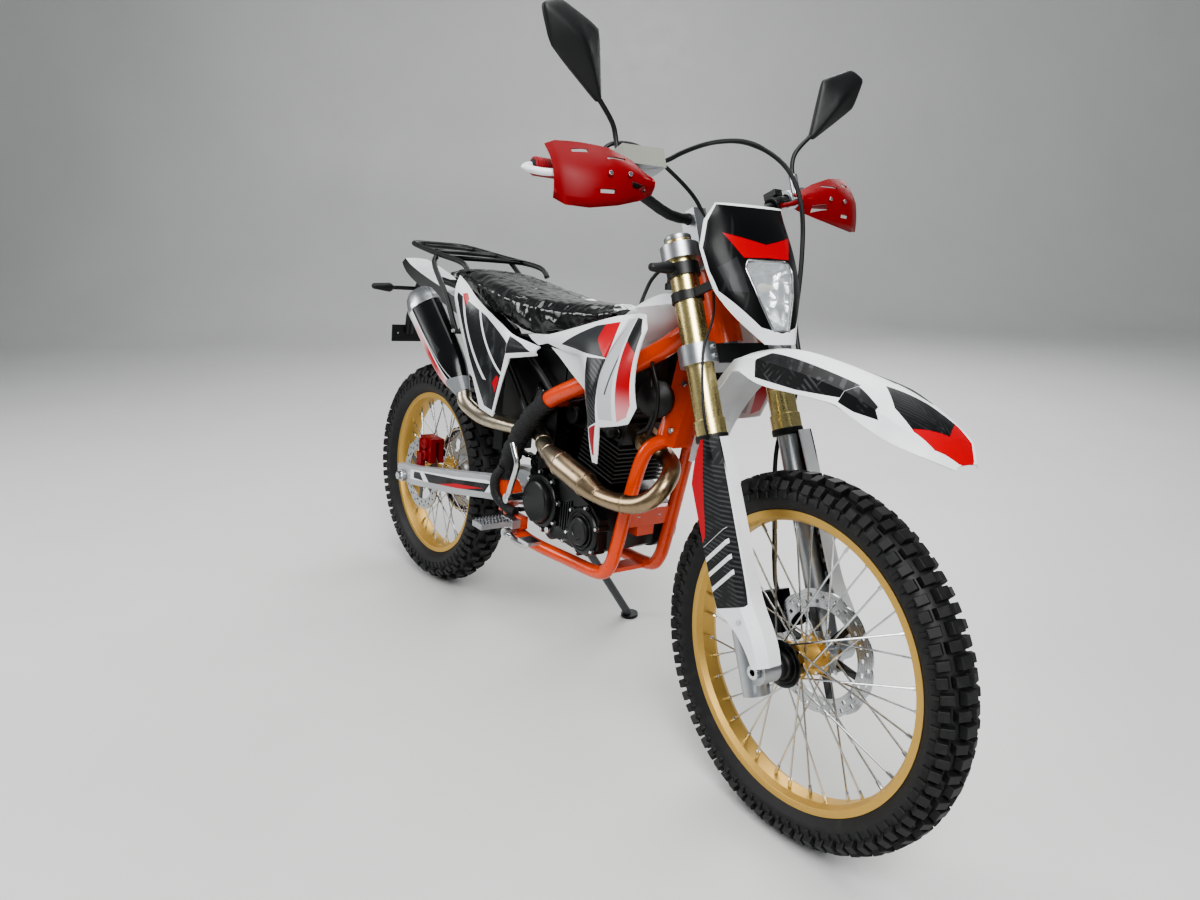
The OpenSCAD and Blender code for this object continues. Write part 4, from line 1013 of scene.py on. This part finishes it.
HEADER = [(920.4, -6, 653), (958, -8, 644), (1004, -14, 631), (1052, -40, 621), (1080, -78, 598),
          (1066, -104, 562), (1018, -118, 540), (940, -128, 536), (880, -134, 552),
          (800, -138, 572), (720, -128, 588), (650, -90, 594), (584, -70, 594), (500, -84, 590),
          (420, -116, 594), (373.2, -142.3, 620.8), (351, -140, 643)]


def stainless():
    f = Finish("heat_tinted_stainless", {"Metallic": 1.0})
    x = f.axes(BIKE)[0]
    lines = f.noise(90, rough=0.6)
    warm = f.mix((x + f.noise(8) * 90).rise(640, 1010), tint("#b5aea0"), tint("#97836a"))
    f.feed(Base_Color=f.mix(lines.rise(0.3, 0.8), warm, tint("#a08f74")),
           Roughness=0.3 + 0.2 * (lines - 0.4))
    return f.bump(lines, 0.00005)


STAINLESS = stainless()


def exhaust():
    path = run(HEADER, 7)

    def radius(q):
        """Pipe, with its swelling beside the cylinder."""
        swell = max(0.0, min(1.0, (930 - q[0]) / 42, (q[0] - 742) / 54)) if q[1] < -100 else 0
        return 19.3 + 9.0 * swell

    radii = [radius(q) for q in path]
    s = Shape().tube(path, radii, 32)
    for spot in (930, 890, 800, 745, 1010, 690):
        far = [abs(q[0] - spot) + (500 if q[1] > -88 else 0) for q in path]
        i = far.index(min(far))
        m = aim(path[i], path[i + 1] - path[i - 1])
        q = radii[i]
        s.lathe([(q - 1, -2.2), (q + 1.0, -1.2), (q + 1.4, 0), (q + 1.0, 1.2), (q - 1, 2.2)], m, 32, 0)
    s.lathe([(19, -4), (31, -4), (31, 3), (24, 5), (19, 6)], aim(path[1], path[2] - path[1]), 32)
    s.piece("header_pipe", "chassis", STAINLESS, ("header",), sharp=50)


exhaust()


def engine_side():
    """Round clutch cover, ribbed generator cover and the plate that joins them."""
    s = Shape()
    out = lambda x, z, y=-80.3: aim((x, y, z), (0, -1, 0))
    s.lathe([(66, 0), (66, 22), (63, 25), (63, 38), (61, 41), (55, 42), (54, 40), (51.5, 40),
             (51, 50), (49, 55), (45, 57.4), (0.1, 57.7)], out(702, 456), 72)
    s.lathe([(54, 0), (54, 30), (51, 34), (45, 35), (44, 32), (41, 32), (40, 38), (37, 38),
             (36, 34), (33, 34), (32, 42), (28, 45), (20, 45), (18, 42), (0.1, 42)],
            out(862, 432), 64)
    s.prism([(676, 398), (716, 384), (880, 376), (918, 402), (914, 470), (884, 492), (770, 522),
             (716, 524), (660, 500)], -106, -80.3)
    bolts = []
    for x, z, reach, angles, r, h, head in ((702, 456, 68, range(10, 370, 45), 8, 33, 4.6),
                                            (862, 432, 56, range(20, 380, 60), 7.5, 30, 4.4)):
        for a in angles:
            u, v = x + reach * cos(radians(a)), z + reach * sin(radians(a))
            s.lathe([(r, 0), (r, h), (r - 1.5, h + 2), (0.1, h + 2)], out(u, v), 16)
            bolts.append(((u, -82.5 - h, v), RIGHT, head, 4.5))
    s.lathe([(24, 0), (24, 22), (20, 26), (10, 26), (9, 30), (0.1, 30)], out(732, 392), 32)
    for i in range(5):
        s.block((772 + i * 9, -109.5, 412 - i * 3), (776 + i * 9, -106, 470 + i * 4))
    s.piece("engine_covers", "chassis", ENGINE, ("clutch_cover",), sharp=30, bevel=0.0008)
    bolts += [((x, y, z), RIGHT, r, h) for x, y, z, r, h in (
        (732, -110.5, 392, 9, 5), (900, -106, 460, 5.5, 6), (904, -106, 410, 5.5, 6),
        (790, -106, 384, 5, 6), (840, -106, 382, 5, 6), (672, -106, 490, 5, 6))]
    bolts += [((x, 81, z), LEFT, 5, 6) for x, z in (
        (660, 470), (700, 404), (780, 390), (860, 386), (900, 430), (890, 480), (800, 520), (720, 520))]
    return bolt_seats(BIKE, bolts)


CASE_BOLTS = engine_side()
turned = MOVE((836, 0, 548.3)) @ Matrix.Rotation(radians(12), 4, "Y")
top = Shape(BIKE @ turned)
top.block((-40, -46, 171), (46, 46, 184))
top.lathe([(26, 0), (26, 10), (22, 14), (0.1, 14)], aim((0, -52, 128), (0, -1, 0)), 36)
top.lathe([(13, 0), (13, 18), (10, 20), (9, 44), (0.1, 46)], aim((30, -60, 120), (0.5, -1, 0.25)), 24)
for y in (-58, 58):
    for x in (48, -48):
        top.lathe([(7, 0), (7, 60), (0.1, 62)], aim((x, y, 92), (0, 0, 1)), 16)
top.piece("head_fittings", "chassis", ENGINE, sharp=30, bevel=0.0012)
feed = Shape()
throat = run([(772, 0, 640), (730, 0, 656), (680, 0, 690), (640, 0, 742), (618, 0, 762)], 6)
feed.tube(throat, [30, 30, 31, 31] + [34] * 20 + [36], 24)
feed.block((694, -38, 632), (752, 38, 700))
feed.lathe([(22, 0), (22, 26), (18, 30), (0.1, 30)], aim((722, -36, 664), (0, -1, 0)), 32)
feed.tube(run([(722, -64, 672), (742, -84, 700), (790, -92, 716), (850, -84, 742)], 6), 4, 12)
feed.block((552, -46, 600), (640, 46, 724))
feed.block((590, -56, 462), (650, 56, 600))
feed.piece("intake", "chassis", BLACK, sharp=40, bevel=0.003)


def spring():
    a, b = Vector((520, 0, 470)), Vector((700, 0, 694))
    m = aim(a, b - a)
    turns = [i * tau / 20 for i in range(161)]
    coil = [m @ Vector((30 * cos(t), 30 * sin(t), 30 + 178 * t / (tau * 8))) for t in turns]
    Shape().tube(coil, 5.2, 10).piece("shock_spring", "chassis", DARK, sharp=60)
    Shape().lathe([(20, 0), (24, 4), (24, 96), (20, 100)], aim((560, -58, 620), (0.5, 0, 1)), 32).piece(
        "shock_reservoir", "chassis", GLOSS, sharp=30, bevel=0.001)


spring()

# Bars and fork


def grip_pair():
    rows = [(21, 0), (21.6, 2), (21.6, 6), (20, 8), (16.2, 9)]
    for i in range(24):
        z = 12 + i * 4.9
        rows += [(15.4, z), (16.6, z + 0.9), (16.6, z + 2.8), (15.4, z + 3.7)]
    rows += [(16.4, 130), (15, 131.6), (11.6, 131.6), (11.6, 0)]
    f = Finish("red_grip_rubber")
    mottle = f.noise(60)
    f.feed(Base_Color=f.mix(mottle, tint("#7c060d"), tint("#95101a")),
           Roughness=0.55 + 0.2 * (mottle - 0.5))
    f.bump(f.noise(800), 0.0002)
    Shape(STEM).lathe(rows, aim((20, 262, 926), (-6, 133, 8)), 36, 0, True).mirror().piece(
        "grip_rubbers", "steering", f, ("grips",), sharp=30)


grip_pair()
guards = from_cad("hand_guards", RED, 14, 0, 1)
slots = Shape(STEM)
for y0, y1, s0, s1, skew in ((214, 252, 866, 878, 3), (290, 318, 856, 863, 1),
                             (252, 296, 921, 926, -4), (326, 354, 931, 938, 2)):
    slots.faces([[(f, y0, s0), (f, y1, s0 + skew), (f, y1, s1 + skew), (f, y0, s1)] for f in (50, 150)])
cut(guards, slots.mirror())


def control_blocks():
    """Switch housings, throttle barrel and the instrument behind the mask."""
    s = Shape(STEM)
    for p, d, a, b, r in (((21.5, 186, 909.6), (0.5, 55, 30), -13, 13, 18),
                          ((20.5, 262, 926), (-6, 133, 8), -10, -1, 20)):
        s.lathe([(11.4, a), (r - 2, a), (r, a + 2), (r, b - 2), (r - 2, b), (11.4, b)],
                aim(p, d), 28, 0, True)
    s.block((4, 176, 922), (38, 198, 936))
    s.mirror()
    s.block((36, -44, 806), (66, 44, 838))
    s.piece("switch_housings", "steering", BLACK, sharp=35, bevel=0.0012)


control_blocks()


def line(name, body, where, points, r):
    """Cable or hose held at both ends, along its route."""
    path = run(points, 6)
    row = [where @ q for q in path]
    ob = Shape(where).tube(path, r, 10).piece(name, body, BLACK, sharp=70)
    length = sum((b - a).length for a, b in zip(row, row[1:]))
    r * 0.002


line("throttle_cable", "steering", STEM, [
    (20, -250, 944), (26, -250, 968), (40, -226, 984), (52, -176, 976), (50, -110, 936),
    (40, -50, 890), (30, -22, 836)], 4)
line("gauge_cable", "steering", STEM, [
    (58, -64, 700), (66, -84, 648), (64, -118, 590), (58, -132, 520), (52, -136, 452),
    (40, -118, 400), (34, -96, 360)], 2.4)
line("tank_vent", "chassis", BIKE, [
    (970, 0, 1003), (962, -6, 1024), (938, -18, 1022), (918, -32, 996), (912, -44, 962),
    (914, -56, 930)], 4)


def mirror_glass():
    glass = Finish("mirror_glass", {"Metallic": 1.0})
    glass.feed(Base_Color=glass.mix(glass.noise(20), tint("#c9ced2"), tint("#e2e6e9")),
               Roughness=0.03 + 0.03 * glass.noise(60))
    ring = [(78, 44, 1046), (112, 142, 1110), (132, 160, 1158), (134, 134, 1168), (122, 58, 1142)]
    mid = sum((Vector(p) for p in ring), Vector()) / 5
    s = Shape(STEM)
    ring = [mid + (Vector(p) - mid) * 0.9 + Vector((0, 234, 0)) for p in ring]
    s.faces([[p + Vector((d, 0, 0)) for p in ring] for d in (-14.5, -10)])
    s.mirror().piece("mirror_glasses", "steering", glass, sharp=30, bevel=0.001)


mirror_glass()
caps = Shape(STEM)
caps.lathe([(26, 0), (26.5, 2), (26.5, 8), (24, 11), (15, 11), (14, 14), (0.1, 14)],
           MOVE((24, 100, 808)), 40)
caps.mirror().piece("fork_caps", "steering", ALLOY, sharp=30, bevel=0.0006)
seal = Shape(STEM)
seal.lathe([(22, 0), (30.5, 1), (31, 4), (31, 12), (29, 15), (22, 16)], MOVE((24, 100, 420)), 40)
seal.mirror().piece("fork_seals", "steering", BLACK, sharp=30)
spacer = Shape(FRONT)
spacer.lathe([(10.2, 48.4), (26, 48.6), (27, 51), (27, 60), (24, 63), (24, 73), (21, 76), (10.2, 76)],
             WHEEL_UP, 40, 0, True)
spacer.piece("axle_spacer", "steering", BLACK, sharp=30)

bite = Shape(REAR)
for z in (72, 106):
    bite.lathe([(17, 0), (17, 5), (14, 8), (8, 8), (7, 6), (0.1, 6)], aim((56, -88, z), (0, -1, 0)), 28)
bite.block((28, -96, 60), (38, -88, 118))
bite.piece("rear_caliper_bores", "chassis", RED, sharp=30, bevel=0.001)

# Bodywork trim, with black plates as painted shade inside the machine
plates = Shape().prism([(722, 822), (858, 822), (876, 790), (896, 742), (862, 750), (802, 780),
                        (760, 804)], -135, -138).mirror()
plates.piece("shroud_inner_plates", "chassis", WHITE, sharp=30, bevel=0.0012)
tails = Shape().prism([(708, 829), (708, 848), (650, 842), (622, 836), (640, 826), (668, 818)],
                      -132.6, -135).mirror()
tails.piece("shroud_tails", "chassis", WHITE, sharp=30, bevel=0.001)
# Painted shade: black plates inside the machine, behind the side panels and shrouds and on the far
# side, stand for the shadow there
dark = Shape().prism([(424, 604), (500, 590), (612, 640), (664, 700), (690, 740), (690, 800),
                      (430, 800)], -66, -62)
dark.prism([(700, 700), (792, 752), (880, 790), (930, 800), (930, 860), (700, 800)], -70, -66)
dark.mirror().prism([(598, 500), (700, 520), (860, 556), (930, 640), (930, 800), (640, 760),
                     (598, 640)], 48, 51)
dark.piece("inner_plates", "chassis", BLACK, sharp=30, bevel=0.001)
horn = Shape()
horn.lathe([(0.1, 0), (38, 0), (40, 3), (40, 14), (36, 18), (24, 22), (12, 30), (0.1, 30)],
           aim((1006, -60, 760), (0.5, -1, 0)), 40)
horn.block((962, -64, 800), (1012, -46, 846))
for r, wire in ((5, [(986, -64, 812), (1004, -78, 790), (1016, -76, 740), (1000, -70, 700),
                     (966, -66, 676)]),
                (4, [(972, -60, 840), (1008, -84, 828), (1030, -82, 780), (1024, -74, 730),
                     (1004, -72, 680)])):
    horn.tube(run(wire, 6), r, 12)
horn.piece("horn_and_wiring", "chassis", BLACK, sharp=35)
cap = Shape(BIKE @ MOVE((970, 0, 979)) @ Matrix.Rotation(radians(-6), 4, "Y"))
cap.lathe([(30.4, 0), (30.4, 12), (28, 14.4), (24.4, 14.6), (24.4, 24), (22, 26.4), (10, 26.6),
           (9, 30), (0.1, 30)], Matrix(), 48)
for i in range(24):
    cap.block((-1.6, 23.5, 15), (1.6, 26, 25), Matrix.Rotation(tau * i / 24, 4, "Z"))
cap.piece("filler_cap", "chassis", BLACK, ("tank_cap",), sharp=30)


def chain_pins():
    """Seats of the pins along both runs and round both sprockets."""
    big, small = Vector((0, REAR_R)), Vector((640, 437))
    big_r, small_r, chain_y, round_pins, run_pins = 126, 36, 75, 60, 45
    d = small - big
    g = atan2(d.y, d.x)
    b = acos((big_r - small_r) / d.length)
    way = lambda a: Vector((cos(a), sin(a)))
    loop = [big + big_r * way(g + b + (tau - 2 * b) * k / round_pins) for k in range(round_pins)]
    for k in range(1, run_pins):
        for a in (g - b, g + b):
            p, q = big + big_r * way(a), small + small_r * way(a)
            loop.append(p + (q - p) * k / run_pins)
    return bolt_seats(BIKE, [((p.x, chain_y + side * 9, p.y), (0, side, 0), 3.6, 2.2)
                             for p in loop for side in (1, -1)])


studs("chain_pins", "chassis", STEEL, chain_pins(), 12)
FRAME_BOLTS = bolt_seats(BIKE, [
    ((1046, -46, 700), RIGHT, 7, 6), ((1062, -40, 800), RIGHT, 7, 6), ((560, -121, 435), RIGHT, 11, 8),
    ((560, 121, 435), LEFT, 11, 8), ((700, -112, 694), RIGHT, 8, 6), ((0, -137, 330), RIGHT, 13, 10),
    ((0, 137, 330), LEFT, 13, 10), ((298, -150, 800), RIGHT, 6, 6), ((298, 150, 800), LEFT, 6, 6),
    ((952, -30, 486), (1, 0, 0.2), 6, 5), ((952, 30, 486), (1, 0, 0.2), 6, 5),
    ((-46, -112, 331), (-1, 0, 0), 5, 16), ((-46, 112, 331), (-1, 0, 0), 5, 16),
    ((1046, 46, 700), LEFT, 7, 6), ((1062, 40, 800), LEFT, 7, 6)])
studs("frame_bolts", "chassis", STEEL, FRAME_BOLTS + CASE_BOLTS, 6, 0.46, bevel=0.0006)
FORK_BOLTS = bolt_seats(STEM, [
    ((58, y, s), (1, 0, 0), 5, 7) for y in (-92, 92) for s in (576, 594)] + [
    ((54, side * 137.2, 92), (0, side, 0), 5.5, 5) for side in (1, -1)] + [
    ((108, side * y, s), (1, 0.1 * side, 0), 5, 3.5)
    for side in (1, -1) for y, s in ((258, 890), (300, 888))] + [
    ((50, side * 92, s), (1, 0, 0), 4.6, 6) for side in (1, -1) for s in (778, 792)])
studs("fork_bolts", "steering", STEEL, FORK_BOLTS, 6, 0.46, bevel=0.0006)
DISC_BOLTS = [((44 * cos(a), 56, 44 * sin(a)), LEFT, 5, 4)
              for a in [tau * i / 6 for i in range(6)]]
studs("front_disc_bolts", "front_wheel", STEEL, bolt_seats(FRONT, DISC_BOLTS), 12, 0.44)

PEG_TEETH = bolt_seats(BIKE, [((x, side * (152 + i * 9), 387.6), (0, 0, 1), 3.4, 5.5)
                              for side in (1, -1) for i in range(9) for x in (595.5, 613.5, 631.5)])
studs("peg_teeth", "chassis", STEEL, PEG_TEETH, 4, 0.3, 0.5)

# Pieces of two finishes, picked by place


def place(where, test):
    back = where.inverted()
    return lambda c: int(test(back @ c))


from_cad("mask", [MASK, BLACK], 45, 0, 2, place(STEM, lambda q: q.x < 94))
from_cad("rear_fender", [WHITE, BLACK], 45, 0, 2,
         place(BIKE, lambda q: q.x > 262 or q.z < 815 or abs(q.y) > 47))
from_cad("triple_clamps", [ALLOY, BLACK], 30, 0.0015, 0,
         place(STEM, lambda q: q.x > 44 and abs(q.y) < 62))
from_cad("levers", [ALLOY, STONE], 40, 0.001, 0, place(STEM, lambda q: q.y < -190 and q.z > 936))
from_cad("side_stand", [GREY, BLACK], 30, 0.001, 0, place(BIKE, lambda q: q.z < 60))

# Everything else in its finish
for node, finish, sharp, bevel, rounds in (
        ("fork_tubes", FORK_GOLD, 30, 0.0008, 0), ("fork_sliders", ALLOY, 30, 0.001, 0),
        ("fork_guards", FORK_GUARD, 40, 0, 2), ("front_caliper", DARK, 30, 0.002, 0),
        ("front_fender", FENDER, 30, 0, 2), ("handlebar", BLACK, 40, 0, 1),
        ("guard_frames", WHITE, 40, 0, 2), ("mirrors", BLACK, 50, 0, 1),
        ("front_flashers", BLACK, 40, 0, 0), ("brake_hose", BLACK, 60, 0, 2),
        ("subframe", BLACK, 40, 0, 1), ("crankcase", ENGINE, 30, 0.002, 0),
        ("cylinder", ENGINE, 30, 0.0008, 0), ("muffler", MUFFLER, 30, 0, 2),
        ("muffler_cap", BRUSHED, 30, 0.001, 0), ("swingarm", ARM, 30, 0.003, 0),
        ("shock", DARK, 30, 0.001, 0), ("chain", DARK, 30, 0.0006, 0),
        ("rear_caliper", RED, 30, 0.007, 0), ("tank", WHITE, 60, 0, 3),
        ("shrouds", SHROUD, 45, 0, 2), ("side_panels", SIDE, 45, 0, 2),
        ("rack", BLACK, 50, 0, 1), ("tail_lamp", RED, 30, 0.004, 0),
        ("plate_bracket", BLACK, 40, 0.001, 0), ("airbox", BLACK, 30, 0.004, 0),
        ("footpegs", ALLOY, 30, 0.0008, 0), ("foot_controls", STEEL, 50, 0, 0)):
    from_cad(node, finish, sharp, bevel, rounds)
